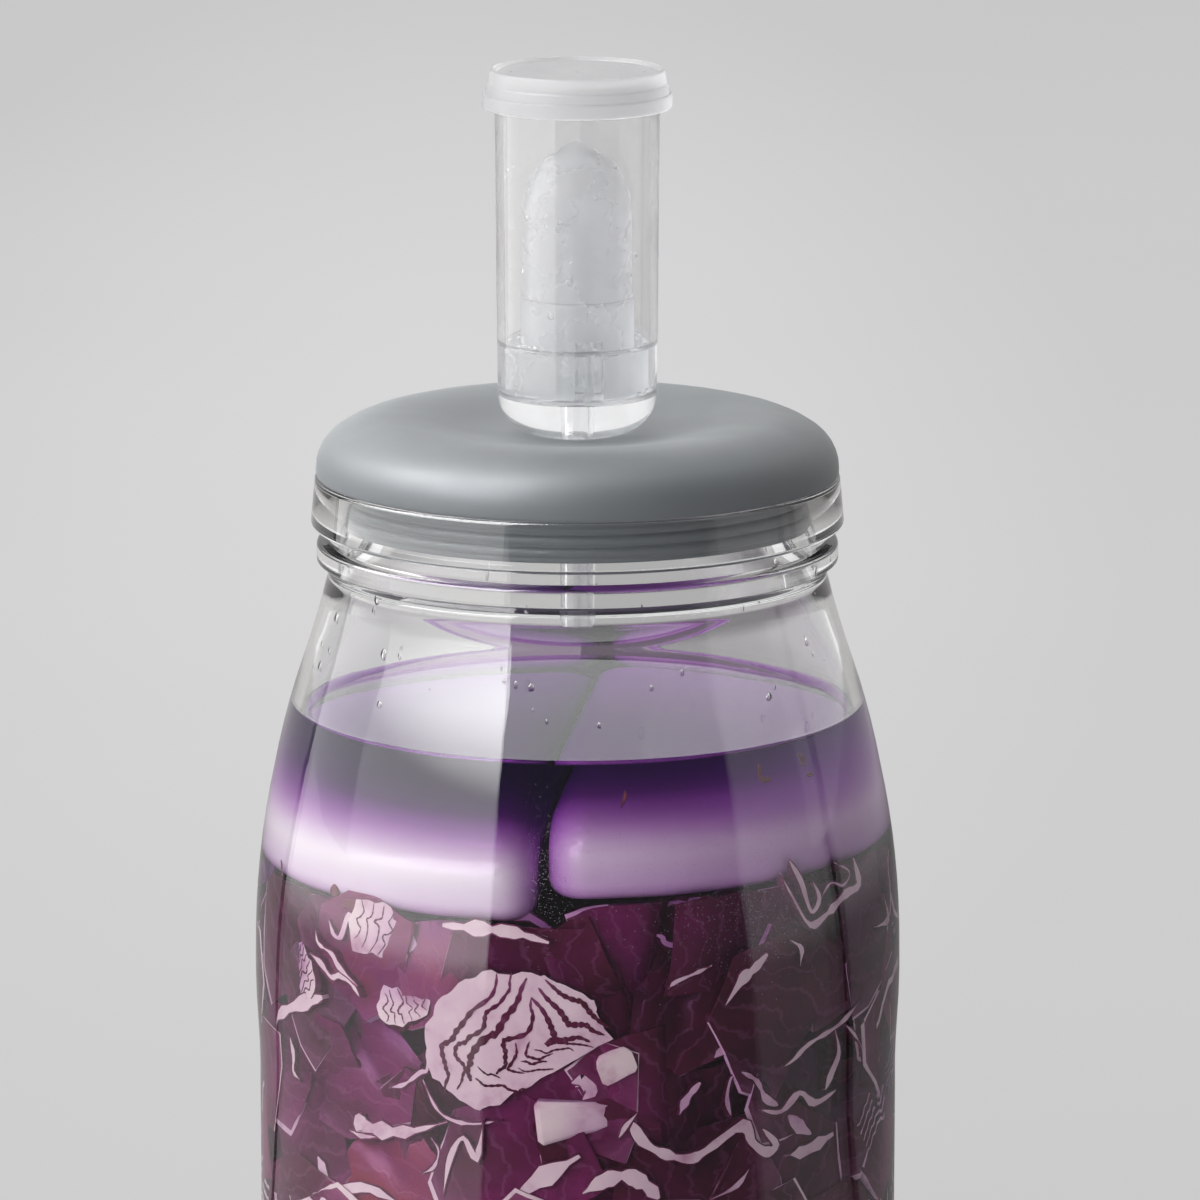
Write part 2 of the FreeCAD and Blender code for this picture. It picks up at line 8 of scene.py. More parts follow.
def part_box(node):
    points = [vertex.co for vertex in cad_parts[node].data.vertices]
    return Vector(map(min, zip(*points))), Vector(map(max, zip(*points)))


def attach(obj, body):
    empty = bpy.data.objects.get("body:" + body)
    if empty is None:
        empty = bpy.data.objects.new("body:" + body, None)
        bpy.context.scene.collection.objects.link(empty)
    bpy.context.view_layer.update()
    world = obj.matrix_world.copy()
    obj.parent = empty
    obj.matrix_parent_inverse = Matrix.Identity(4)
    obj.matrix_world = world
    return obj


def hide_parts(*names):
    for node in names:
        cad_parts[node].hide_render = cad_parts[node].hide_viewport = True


# A fermentation jar: clear glass, grey silicone lid with a three piece airlock,
# and cut red cabbage held under purple brine by two half-moon stones.
# Outlines are in millimetres, (radius, height); objects are in metres.

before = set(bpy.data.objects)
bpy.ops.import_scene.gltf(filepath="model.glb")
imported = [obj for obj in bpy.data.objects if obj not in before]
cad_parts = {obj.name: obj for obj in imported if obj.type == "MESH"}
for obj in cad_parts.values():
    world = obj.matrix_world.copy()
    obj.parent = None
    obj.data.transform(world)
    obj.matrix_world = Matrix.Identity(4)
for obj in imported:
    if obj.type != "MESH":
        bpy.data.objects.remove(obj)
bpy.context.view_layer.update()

MM = 0.001
TURN = 2 * math.pi


def top_of(node):
    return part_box(node)[1][2] / MM


def foot_of(node):
    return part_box(node)[0][2] / MM


MOUTH = top_of("jar")
BRINE_LEVEL = top_of("brine")
CROWN = top_of("lid")
SEAT = CROWN - 4.0
AIRLOCK_RIM = top_of("airlock_body")
AIRLOCK_FLOOR = foot_of("airlock_water")
WATER_LEVEL = top_of("airlock_water")
FLOAT_FOOT = foot_of("airlock_float")
CAP_FOOT = foot_of("airlock_cap")
CAP_TOP = top_of("airlock_cap")
BORE = 56.0
AIRLOCK_INSIDE = 17.1
TUBE = 4.4
SINK = 0.4  # how far a filling reaches into the wall that holds it


# ------------------------------------------------------------ shaping helpers

def deselect():
    if bpy.context.object and bpy.context.object.mode != "OBJECT":
        bpy.ops.object.mode_set(mode="OBJECT")
    bpy.ops.object.select_all(action="DESELECT")


def only(piece):
    """Select one piece and make it active."""
    deselect()
    piece.select_set(True)
    bpy.context.view_layer.objects.active = piece


def named(name):
    """Name the piece that has just been added."""
    piece = bpy.context.object
    piece.name = name
    piece.data.name = name
    return piece


def added(name, data):
    """A new object in the scene, made from its data."""
    piece = bpy.data.objects.new(name, data)
    bpy.context.scene.collection.objects.link(piece)
    return piece


def copied(piece):
    """A copy of a piece, with its own mesh."""
    copy = piece.copy()
    copy.data = piece.data.copy()
    bpy.context.scene.collection.objects.link(copy)
    return copy


def discard(*pieces):
    """Remove patterns and cutters that have done their work."""
    for piece in pieces:
        bpy.data.objects.remove(piece)


def coat(piece, *finishes):
    """Give a piece these finishes and no others."""
    piece.data.materials.clear()
    for finish in finishes:
        piece.data.materials.append(finish)


def edit(select="SELECT"):
    bpy.ops.object.mode_set(mode="EDIT")
    bpy.ops.mesh.select_all(action=select)


def leave():
    bpy.ops.object.mode_set(mode="OBJECT")


def arc_points(start, end, radius, side):
    """The points after start on the arc to end, which turns left or right."""
    chord = end - start
    reach = math.sqrt(max(radius ** 2 - (chord.length / 2) ** 2, 0))
    across = Vector((-chord.y, chord.x)).normalized()
    sign = 1 if side == "left" else -1
    centre = (start + end) / 2 + across * reach * sign
    first = math.atan2(start.y - centre.y, start.x - centre.x)
    sweep = 2 * math.asin(min(chord.length / (2 * radius), 1)) * sign
    count = max(2, math.ceil(abs(sweep) / math.radians(11)), math.ceil(radius * abs(sweep) / 6))
    points = []
    for number in range(1, count):
        angle = first + sweep * number / count
        points.append(centre + Vector((math.cos(angle), math.sin(angle))) * radius)
    return points + [end]


def outline(corners):
    """The points of an outline; a corner (r, z, radius, side) starts an arc."""
    points = [Vector(corners[0][:2])]
    for corner, following in zip(corners, corners[1:]):
        end = Vector(following[:2])
        points += arc_points(points[-1], end, *corner[2:]) if len(corner) == 4 else [end]
    return points


def turned(name, corners, closed=False, steps=160):
    """Draw an outline by extruding one point, then spin it round the Z axis."""
    points = outline(corners)
    deselect()
    bpy.ops.mesh.primitive_plane_add(size=MM)
    piece = named(name)
    edit()
    bpy.ops.mesh.merge(type="CENTER")
    bpy.ops.transform.translate(value=(points[0].x * MM, 0, points[0].y * MM))
    for before, after in zip(points, points[1:]):
        step = ((after.x - before.x) * MM, 0, (after.y - before.y) * MM)
        bpy.ops.mesh.extrude_region_move(TRANSFORM_OT_translate={"value": step})
    if closed:
        leave()
        ends = (0, len(points) - 1)
        for vertex in piece.data.vertices:
            vertex.select = vertex.index in ends
        bpy.ops.object.mode_set(mode="EDIT")
        bpy.ops.mesh.edge_face_add()
    bpy.ops.mesh.select_all(action="SELECT")
    bpy.ops.mesh.spin(steps=steps, angle=TURN, center=(0, 0, 0), axis=(0, 0, 1))
    finish_mesh()
    return piece


def finish_mesh():
    """Merge doubles, point the faces outwards and shade them; ends in object mode."""
    bpy.ops.mesh.select_all(action="SELECT")
    bpy.ops.mesh.remove_doubles(threshold=0.005 * MM)
    bpy.ops.mesh.normals_make_consistent(inside=False)
    leave()
    smooth(30)


def smooth(crease):
    """Shade the chosen piece smooth, but for edges sharper than so many degrees."""
    bpy.ops.object.shade_smooth_by_angle(angle=math.radians(crease))


def modify(piece, kind, **settings):
    """Add a modifier and apply it."""
    only(piece)
    modifier = piece.modifiers.new(kind.title(), kind)
    for setting, value in settings.items():
        setattr(modifier, setting, value)
    bpy.ops.object.modifier_apply(modifier=modifier.name)


def joined(pieces, name):
    deselect()
    for piece in pieces:
        piece.select_set(True)
    bpy.context.view_layer.objects.active = pieces[0]
    bpy.ops.object.join()
    return named(name)


def fit_in(piece, material, slot, *nodes):
    """Give a piece its finish and its place in the object."""
    if material:
        coat(piece, material)
    if nodes:
        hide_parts(*nodes)
    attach(piece, "root")


# ------------------------------------------------------------ finishes

def solid(colour):
    """A colour, or a grey level, as the four numbers that a socket takes."""
    return (colour, colour, colour, 1) if isinstance(colour, (int, float)) else (*colour, 1)


class Nodes:
    """A node tree under construction."""

    def __init__(self, tree):
        self.tree = tree
        self.tree.nodes.clear()

    def add(self, kind, **inputs):
        node = self.tree.nodes.new(kind)
        for key, value in inputs.items():
            self.put(node, key.replace("_", " "), value)
        return node

    def put(self, node, key, value):
        socket = node.inputs[int(key) if key.isdigit() else key]
        if isinstance(value, bpy.types.NodeSocket):
            self.tree.links.new(value, socket)
        else:
            socket.default_value = value

    def noise(self, scale, detail=2.0, roughness=0.5, where=None, stretch=None):
        where = where or self.place
        if stretch:
            where = self.add("ShaderNodeMapping", Vector=where, Scale=stretch).outputs[0]
        node = self.add("ShaderNodeTexNoise", Vector=where, Scale=scale, Detail=detail,
                        Roughness=roughness)
        return node.outputs["Fac"]

    def ramp(self, factor, *stops):
        """Colours or grey levels from stop to stop: (position, colour or level)."""
        node = self.add("ShaderNodeValToRGB", Fac=factor)
        elements = node.color_ramp.elements
        while len(elements) < len(stops):
            elements.new(0.5)
        for element, (position, colour) in zip(elements, stops):
            element.position = position
            element.color = solid(colour)
        return node.outputs["Color"]

    def cloud(self, scale, detail, *stops, roughness=0.5):
        """A colour or level that wanders over the piece."""
        return self.ramp(self.noise(scale, detail, roughness), *stops)

    def mix(self, factor, first, second, blend="MIX"):
        node = self.add("ShaderNodeMix")
        node.data_type = "RGBA"
        node.blend_type = blend
        for key, value in (("Factor", factor), ("A", first), ("B", second)):
            socket = next(s for s in node.inputs if s.name == key and s.enabled)
            if isinstance(value, bpy.types.NodeSocket):
                self.tree.links.new(value, socket)
            else:
                socket.default_value = value if key == "Factor" else solid(value)
        return next(s for s in node.outputs if s.enabled)

    def maths(self, operation, first, second=0.0):
        node = self.add("ShaderNodeMath")
        node.operation = operation
        self.put(node, "0", first)
        self.put(node, "1", second)
        return node.outputs[0]

    def vector_maths(self, operation, *vectors):
        """One number from one or two vectors, such as a length."""
        node = self.add("ShaderNodeVectorMath")
        node.operation = operation
        for number, vector in enumerate(vectors):
            self.put(node, str(number), vector)
        return node.outputs["Value"]

    def level(self, value, start, end, low=0.0, high=1.0):
        """A level that goes from low to high as a value goes from start to end."""
        return self.add("ShaderNodeMapRange", Value=value, From_Min=start, From_Max=end,
                        To_Min=low, To_Max=high).outputs[0]

    def shaders(self, factor, first, second):
        """Two shaders mixed."""
        node = self.add("ShaderNodeMixShader", Fac=factor)
        self.put(node, "1", first)
        self.put(node, "2", second)
        return node.outputs[0]

    def sectors(self, place, *stops):
        """A level for each sector round the jar: (degrees to the right of the front, level)."""
        parts = self.add("ShaderNodeSeparateXYZ", Vector=place).outputs
        around = self.maths("ARCTAN2", parts["X"], self.maths("MULTIPLY", parts["Y"], -1.0))
        share = self.maths("ADD", self.maths("DIVIDE", around, TURN), 0.5)
        levels = self.ramp(share, *[(degrees / 360 + 0.5, level) for degrees, level in stops])
        levels.node.color_ramp.interpolation = "CONSTANT"
        return self.add("ShaderNodeRGBToBW", Color=levels).outputs[0]

    def ray_kinds(self, place):
        """Which rays see the background and which the mirrored room, and what both gain behind glass."""
        path = self.add("ShaderNodeLightPath")
        behind = self.sectors(place, (-180, 1.0), (-BEHIND, 0.0), (BEHIND, 1.0))
        through = path.outputs["Is Transmission Ray"]
        straight = self.maths("MULTIPLY", through, behind)
        thrown_aside = self.maths("SUBTRACT", through, straight)
        seen = self.maths("MAXIMUM", path.outputs["Is Camera Ray"], straight)
        mirrored = self.maths("MAXIMUM", path.outputs["Is Glossy Ray"], thrown_aside)
        gain = self.maths("ADD", self.maths("MULTIPLY", straight, THROUGH_GLASS), 1.0)
        return seen, mirrored, gain, self.maths("MULTIPLY", thrown_aside, FRONT_GLOW)


class Finish(Nodes):
    """A node material under construction."""

    def __init__(self, name):
        self.material = bpy.data.materials.new(name)
        self.material.use_nodes = True
        super().__init__(self.material.node_tree)
        self.out = self.add("ShaderNodeOutputMaterial")
        self.place = self.add("ShaderNodeTexCoord").outputs["Object"]

    def bump(self, height, distance, strength=1.0, under=None):
        node = self.add("ShaderNodeBump", Height=height, Distance=distance, Strength=strength)
        if under:
            self.put(node, "Normal", under)
        return node.outputs[0]

    def grain(self, scale, detail, depth, strength=1.0, stretch=None, under=None):
        """Relief from noise; its depth is in millimetres."""
        return self.bump(self.noise(scale, detail, stretch=stretch), depth * MM, strength, under)

    def surface(self, shader):
        self.tree.links.new(shader, self.out.inputs["Surface"])
        return self.material

    def principled(self, **inputs):
        return self.add("ShaderNodeBsdfPrincipled", **inputs).outputs[0]

    def clear(self, shader, tint):
        """Let light reach what stands behind the glass: shadow and diffuse rays go straight on."""
        path = self.add("ShaderNodeLightPath")
        straight = self.maths("MAXIMUM", path.outputs["Is Shadow Ray"], path.outputs["Is Diffuse Ray"])
        through = self.add("ShaderNodeBsdfTransparent", Color=solid(tint)).outputs[0]
        return self.surface(self.shaders(straight, shader, through))

    def hazed(self, plastic, haze, colour, tint):
        """A clear plastic, mixed with the soft glow that passes through its haze."""
        turned_back = 0.3
        glow = self.add("ShaderNodeBsdfTranslucent", Color=solid(colour)).outputs[0]
        sheen = self.add("ShaderNodeBsdfDiffuse", Color=solid(colour)).outputs[0]
        return self.clear(self.shaders(haze, plastic, self.shaders(turned_back, glow, sheen)), tint)


def jar_glass():
    f = Finish("jar_glass")
    pull = f.grain(160, 2, 0.008, stretch=(1, 1, 0.12))
    normal = f.grain(28, 1.5, 0.12, stretch=(1, 1, 0.45), under=pull)
    glass = f.principled(Base_Color=(0.985, 0.995, 0.99, 1), Roughness=0.004, IOR=1.5,
                         Transmission_Weight=1.0, Normal=normal)
    return f.clear(glass, (0.97, 0.975, 0.975))


def grey_silicone():
    f = Finish("grey_silicone")
    colour = f.cloud(18, 3, (0.3, (0.148, 0.161, 0.171)), (0.7, (0.165, 0.177, 0.188)))
    rough = f.cloud(60, 4, (0.35, 0.44), (0.7, 0.54))
    normal = f.grain(2600, 2, 0.03, 0.6)
    silicone = f.principled(Base_Color=colour, Roughness=rough, IOR=1.5, Sheen_Weight=0.2,
                            Sheen_Roughness=0.5, Normal=normal)
    return f.surface(silicone)


def clear_plastic():
    f = Finish("clear_plastic")
    normal = f.grain(90, 2, 0.03, stretch=(1, 1, 0.3))
    plastic = f.principled(Base_Color=(0.985, 0.988, 0.99, 1), Roughness=0.02, IOR=1.49,
                           Transmission_Weight=1.0, Normal=normal)
    haze = f.cloud(60, 4, (0.35, 0.07), (0.75, 0.17))
    return f.hazed(plastic, haze, 0.97, (0.96, 0.965, 0.97))


def frosted_plastic():
    f = Finish("frosted_plastic")
    rough = f.cloud(70, 3, (0.3, 0.22), (0.7, 0.32))
    normal = f.grain(400, 3, 0.02)
    plastic = f.principled(Base_Color=(0.97, 0.97, 0.975, 1), Roughness=rough, IOR=1.4,
                           Transmission_Weight=1.0, Normal=normal)
    haze = f.cloud(50, 4, (0.3, 0.26), (0.75, 0.4))
    return f.hazed(plastic, haze, 0.96, (0.86, 0.86, 0.87))


def cap_plastic():
    f = Finish("cap_plastic")
    rough = f.cloud(90, 3, (0.3, 0.3), (0.7, 0.42))
    normal = f.grain(900, 2, 0.02)
    plastic = f.principled(Base_Color=(0.96, 0.96, 0.965, 1), Roughness=rough, IOR=1.4,
                           Transmission_Weight=0.85, Normal=normal)
    haze = f.cloud(40, 3, (0.3, 0.34), (0.7, 0.46))
    return f.hazed(plastic, haze, (0.97, 0.97, 0.965), (0.78, 0.78, 0.79))


def water():
    f = Finish("water")
    normal = f.grain(45, 1, 0.05)
    fill = f.principled(Base_Color=(1, 1, 1, 1), Roughness=0.0, IOR=1.33,
                        Transmission_Weight=1.0, Normal=normal)
    return f.clear(fill, (0.97, 0.98, 0.98))


def purple_brine():
    f = Finish("purple_brine")
    normal = f.grain(30, 1, 0.02)
    fill = f.principled(Base_Color=(1, 1, 1, 1), Roughness=0.0, IOR=1.33,
                        Transmission_Weight=1.0, Normal=normal)
    dye = f.add("ShaderNodeVolumeAbsorption", Color=(0.57, 0.037, 0.704, 1), Density=108.0)
    f.tree.links.new(dye.outputs[0], f.out.inputs["Volume"])
    return f.clear(fill, (0.98, 0.97, 0.99))


def white_stoneware():
    f = Finish("white_stoneware")
    tone = f.cloud(25, 3, (0.3, (0.83, 0.82, 0.785)), (0.7, (0.87, 0.86, 0.83)))
    pits = f.add("ShaderNodeTexVoronoi", Vector=f.place, Scale=420.0)
    speck = f.ramp(pits.outputs["Distance"], (0.05, (0.45, 0.38, 0.36)), (0.12, 1))
    colour = f.mix(0.35, tone, speck, "MULTIPLY")
    normal = f.grain(220, 3, 0.05, 0.5)
    glaze = f.principled(Base_Color=colour, Roughness=0.32, IOR=1.5, Coat_Weight=0.4,
                         Coat_Roughness=0.15, Normal=normal)
    return f.surface(glaze)


def cabbage_dark():
    f = Finish("cabbage_dark")
    colour = f.cloud(70, 4, (0.3, (0.03, 0.004, 0.012)), (0.55, (0.10, 0.012, 0.04)),
                     (0.75, (0.2, 0.03, 0.09)))
    normal = f.grain(160, 3, 0.6)
    skin = f.principled(Base_Color=colour, Roughness=0.4, IOR=1.4, Normal=normal)
    return f.surface(skin)


def leaf_skin():
    """Purple skin of a leaf: mottled, paler by the rib, with branching veins."""
    f = Finish("leaf_skin")
    uv = f.add("ShaderNodeUVMap").outputs[0]
    # Each piece's tone lightens or darkens its skin: at random for the heap, and for the listed leaves at
    # the front partly painted light, lighter on the left and darker on the right.
    tone = f.add("ShaderNodeAttribute")
    tone.attribute_name = "tone"
    cloud = f.maths("MULTIPLY", f.maths("SUBTRACT", f.noise(55, 5, 0.65), 0.5), 0.95)
    shade = f.maths("MULTIPLY", f.maths("SUBTRACT", f.noise(16, 2), 0.5), 0.9)
    level = f.maths("ADD", f.maths("MULTIPLY", tone.outputs["Fac"], 0.7), f.maths("ADD", cloud, shade))
    colour = f.ramp(level, (0.0, (0.035, 0.003, 0.011)), (0.22, (0.083, 0.006, 0.024)),
                    (0.42, (0.12, 0.007, 0.053)), (0.62, (0.215, 0.02, 0.107)), (0.9, (0.28, 0.033, 0.06)))
    across = f.add("ShaderNodeSeparateXYZ", Vector=uv).outputs["X"]
    ragged = f.maths("ADD", across, f.maths("MULTIPLY", f.noise(5, 4, where=uv), 0.35))
    paler = f.ramp(ragged, (0.16, 0.3), (0.34, 0))
    colour = f.mix(paler, colour, (0.42, 0.16, 0.28))
    bent = f.mix(0.35, uv, f.noise(2.5, 4, 0.6, where=uv), "ADD")
    ribs = f.add("ShaderNodeTexWave", Vector=bent, Scale=2.2, Distortion=5.0, Detail=3.0)
    ribs.inputs["Detail Scale"].default_value = 1.6
    line = f.ramp(ribs.outputs["Fac"], (0.88, 0), (1.0, 0.13))
    colour = f.mix(line, colour, (0.48, 0.2, 0.34))
    relief = f.maths("ADD", f.noise(130, 4), f.maths("MULTIPLY", line, 1.2))
    rolling = f.grain(26, 2, 1.6)
    skin = f.principled(Base_Color=colour, Roughness=0.3, IOR=1.4, Specular_IOR_Level=0.45,
                        Normal=f.bump(relief, 0.22 * MM, under=rolling))
    return f.surface(skin)


def cut_flesh():
    """White flesh of a cut edge, stained lilac here and there."""
    f = Finish("cut_flesh")
    colour = f.cloud(85, 4, (0.3, (0.56, 0.34, 0.4)), (0.45, (0.78, 0.65, 0.62)),
                     (0.7, (0.88, 0.8, 0.7)), roughness=0.6)
    flesh = f.principled(Base_Color=colour, Roughness=0.45, IOR=1.38, Specular_IOR_Level=0.3,
                         Normal=f.grain(700, 3, 0.05))
    return f.surface(flesh)


def rib_flesh():
    """Pale skin of the thick rib, going purple at its ends."""
    f = Finish("rib_flesh")
    colour = f.cloud(60, 3, (0.36, (0.3, 0.07, 0.17)), (0.5, (0.6, 0.36, 0.48)), (0.7, (0.8, 0.68, 0.7)))
    flesh = f.principled(Base_Color=colour, Roughness=0.42, IOR=1.38, Specular_IOR_Level=0.3,
                         Normal=f.grain(300, 3, 0.08))
    return f.surface(flesh)


def bubble_white():
    f = Finish("bubble_white")
    # Air bubbles are drawn as pale, partly clear specks: their white is a painted glint, standing in for the
    # light that the bubbles reflect.
    tone = f.cloud(900, 1, (0.3, (0.6, 0.55, 0.62)), (0.7, (0.95, 0.93, 0.95)))
    shine = f.principled(Base_Color=tone, Roughness=0.15, IOR=1.3, Transmission_Weight=0.35)
    return f.surface(shine)


def dull_red():
    """A spice berry and threads of leaf that float by the glass."""
    f = Finish("dull_red")
    tone = f.cloud(400, 4, (0.3, (0.10, 0.018, 0.03)), (0.7, (0.24, 0.075, 0.08)))
    skin = f.principled(Base_Color=tone, Roughness=0.5, IOR=1.4,
                        Normal=f.grain(900, 3, 0.08))
    return f.surface(skin)


# ------------------------------------------------------------ glass jar

SHOULDER_SIDE = [
    # up the outside of the glass: the gentle swell, the belly, the shoulder
    (76, 73.5, 183, "right"),
    (76.4, 90.6, 183, "left"),
    (76.8, 107.7, 202, "left"),
    (72, 151.5, 180, "left"),
    (65.2, 177, 208, "right"),
]
WALL = 3.0


def inner_side(inset):
    """Up the inside of the glass, held in by an inset."""
    side = [(r - WALL - inset, z, *arc) for r, z, *arc in SHOULDER_SIDE]
    return [
        (0, 8.5 + inset),
        (62, 7 + inset, 11 - inset, "left"),
        (73 - inset, 18),
        *side,
        (BORE - inset, 196.5),
    ]


def make_jar():
    outside = [
        (0, 3),
        (54, 0),
        (62, 0, 14, "left"),
        (76, 14),
        *SHOULDER_SIDE,
        (59.4, 196.5, 4, "right"),
        (61.6, 202),
        (61.6, 205.2, 1.2, "left"),
        (60.4, 206.4),
        (59.4, 207),
        (59.4, 209.4),
        (61.7, 210, 1.2, "left"),
        (62.9, 211.2),
        (62, 220.8, 1.2, "left"),
        (60.8, 222),
        (57.2, 222, 1.2, "left"),
        (56, 220.8),
    ]
    inside = outline(inner_side(0.0))
    jar = turned("jar_glass", outside + inside[::-1], steps=192)
    fit_in(jar, jar_glass(), "jar_glass", "jar")


# ------------------------------------------------------------ silicone lid

LID_SIDE = 61.7
BRIM = MOUTH + 1.5


def make_lid():
    hole = 4.95
    root = 54.8
    hollow = 49.8
    plug_foot = MOUTH - 10.5
    ribs = []
    for number in range(3):
        rib_foot = plug_foot + 1.2 + 2.7 * number
        ribs += [(root, rib_foot, 1.25, "left"), (root, rib_foot + 2.4)]
    lid = turned("lid_silicone", [
        (hole, SEAT - 4),
        (14, SEAT - 4),
        (hollow - 4, CROWN - 6, 4.5, "right"),
        (hollow, CROWN - 10),
        (hollow, plug_foot + 0.5, 0.5, "right"),
        (hollow + 0.5, plug_foot),
        (root - 0.5, plug_foot, 0.5, "left"),
        (root, plug_foot + 0.5),
        *ribs,
        (root, MOUTH),
        (LID_SIDE - 0.7, MOUTH, 0.7, "left"),
        (LID_SIDE, MOUTH + 0.7),
        (LID_SIDE, BRIM, 10, "left"),
        (57.7, 231.5, 20, "left"),
        (45.7, CROWN, 64, "left"),
        (29.85, CROWN - 2, 64, "right"),
        (14, SEAT),
        (hole + 0.4, SEAT, 0.4, "left"),
        (hole, SEAT - 0.4),
    ], closed=True, steps=192)
    fit_in(lid, grey_silicone(), "grey_silicone", "lid")


# ------------------------------------------------------------ airlock

def make_airlock_body():
    tip = SEAT - 50.0
    body = turned("airlock_body_clear", [
        (2.6, tip),
        (3.45, tip, 0.3, "left"),
        (3.75, tip + 0.3),
        (4.75, SEAT - 0.4),
        (5.2, SEAT),
        (8.8, SEAT, 10, "left"),
        (18.8, SEAT + 10),
        (19.4, AIRLOCK_RIM - 0.4, 0.4, "left"),
        (19, AIRLOCK_RIM),
        (18.1, AIRLOCK_RIM, 0.4, "left"),
        (17.7, AIRLOCK_RIM - 0.4),
        (AIRLOCK_INSIDE, AIRLOCK_FLOOR + 3, 3, "right"),
        (AIRLOCK_INSIDE - 3, AIRLOCK_FLOOR),
        (TUBE + 0.6, AIRLOCK_FLOOR, 0.6, "right"),
        (TUBE, AIRLOCK_FLOOR + 0.6),
        (TUBE, AIRLOCK_FLOOR + 39.6, 0.4, "left"),
        (TUBE - 0.4, AIRLOCK_FLOOR + 40),
        (2.6, AIRLOCK_FLOOR + 40),
    ], closed=True, steps=128)
    fit_in(body, clear_plastic(), "clear_plastic", "airlock_body")


def cut_out(piece, cutters):
    """Cut solid shapes out of a piece, then drop them."""
    cutter = joined(cutters, "cutter") if len(cutters) > 1 else cutters[0]
    modify(piece, "BOOLEAN", object=cutter, operation="DIFFERENCE", solver="EXACT")
    discard(cutter)
    edit()
    finish_mesh()


def make_float():
    skirt = 13.4
    barrel = 12.8
    thickness = 1.2
    shell = turned("airlock_float_shell", [
        (skirt - thickness, FLOAT_FOOT + 0.3),
        (skirt - thickness + 0.3, FLOAT_FOOT),
        (skirt - 0.3, FLOAT_FOOT, 0.3, "left"),
        (skirt, FLOAT_FOOT + 0.3),
        (skirt, FLOAT_FOOT + 22.3, 0.5, "left"),
        (barrel, FLOAT_FOOT + 23),
        (barrel, FLOAT_FOOT + 44, 16, "left"),
        (7.6, FLOAT_FOOT + 54.9),
        (0.6, FLOAT_FOOT + 59.1, 0.8, "left"),
        (0, FLOAT_FOOT + 59.3),
        (0, FLOAT_FOOT + 58.3),
        (7, FLOAT_FOOT + 53.7, 16, "right"),
        (barrel - thickness, FLOAT_FOOT + 43.4),
        (barrel - thickness, FLOAT_FOOT + 22.6),
        (skirt - thickness, FLOAT_FOOT + 22),
        (skirt - thickness, FLOAT_FOOT + 0.3),
    ], steps=96)
    # Two slots across the skirt let the gas out under it.
    for size in ((6.3, 40, 15), (40, 6.3, 15)):
        deselect()
        bpy.ops.mesh.primitive_cube_add(size=MM)
        slot = named("slot")
        edit()
        bpy.ops.transform.resize(value=size)
        bpy.ops.transform.translate(value=(0, 0, (FLOAT_FOOT + 6.5) * MM))
        leave()
        cut_out(shell, [slot])
    only(shell)
    edit()
    bpy.ops.transform.rotate(value=math.radians(-11.6), orient_axis="Z", center_override=(0, 0, 0))
    leave()
    fit_in(shell, frosted_plastic(), "frosted_plastic", "airlock_float")


def make_cap():
    disc = CAP_TOP - 0.8
    cap = turned("airlock_cap_soft", [
        (0, disc),
        (18.6, disc, 0.8, "right"),
        (19.4, CAP_TOP - 0.3),
        (19.8, CAP_TOP, 0.6, "right"),
        (20.5, CAP_TOP - 0.6),
        (20.9, CAP_TOP - 3.3),
        (21.3, CAP_TOP - 3.7),
        (21.6, CAP_TOP - 5.6, 0.5, "right"),
        (22.2, CAP_TOP - 6.2),
        (22.3, CAP_TOP - 8.6, 0.5, "right"),
        (21.8, CAP_FOOT),
        (19.9, CAP_FOOT),
        (19.6, CAP_FOOT + 0.3),
        (19.6, AIRLOCK_RIM),
        (0, AIRLOCK_RIM),
    ], steps=128)
    # A ring of eight vents, and one in the middle.
    vents = []
    for number in range(9):
        around = TURN * number / 8
        out = 15.6 * MM if number < 8 else 0
        deselect()
        bpy.ops.mesh.primitive_cylinder_add(vertices=10, radius=0.6 * MM, depth=6 * MM,
                                            location=(out * math.cos(around), out * math.sin(around),
                                                      disc * MM))
        bpy.ops.object.transform_apply(location=True, rotation=True, scale=True)
        vents.append(named("vent"))
    cut_out(cap, vents)
    fit_in(cap, cap_plastic(), "cap_plastic", "airlock_cap")


def drop_pattern(name, segments=10, rings=6):
    deselect()
    bpy.ops.mesh.primitive_uv_sphere_add(segments=segments, ring_count=rings, radius=MM)
    drop = named(name)
    bpy.ops.object.shade_smooth()
    return drop


def set_round(pattern, angle, height, out, width, tall, thick):
    """A copy of a small shape at an angle round the jar's axis, facing out."""
    copy = copied(pattern)
    around = math.radians(angle)
    across = Vector((math.cos(around), math.sin(around), 0))
    away = Vector((math.sin(around), -math.cos(around), 0))
    for vertex in copy.data.vertices:
        x, y, z = vertex.co
        sag = 1 - 0.25 * z / MM
        vertex.co = (across * x * width * sag + away * (y * thick + out * MM)
                     + Vector((0, 0, z * tall + height * MM)))
    return copy


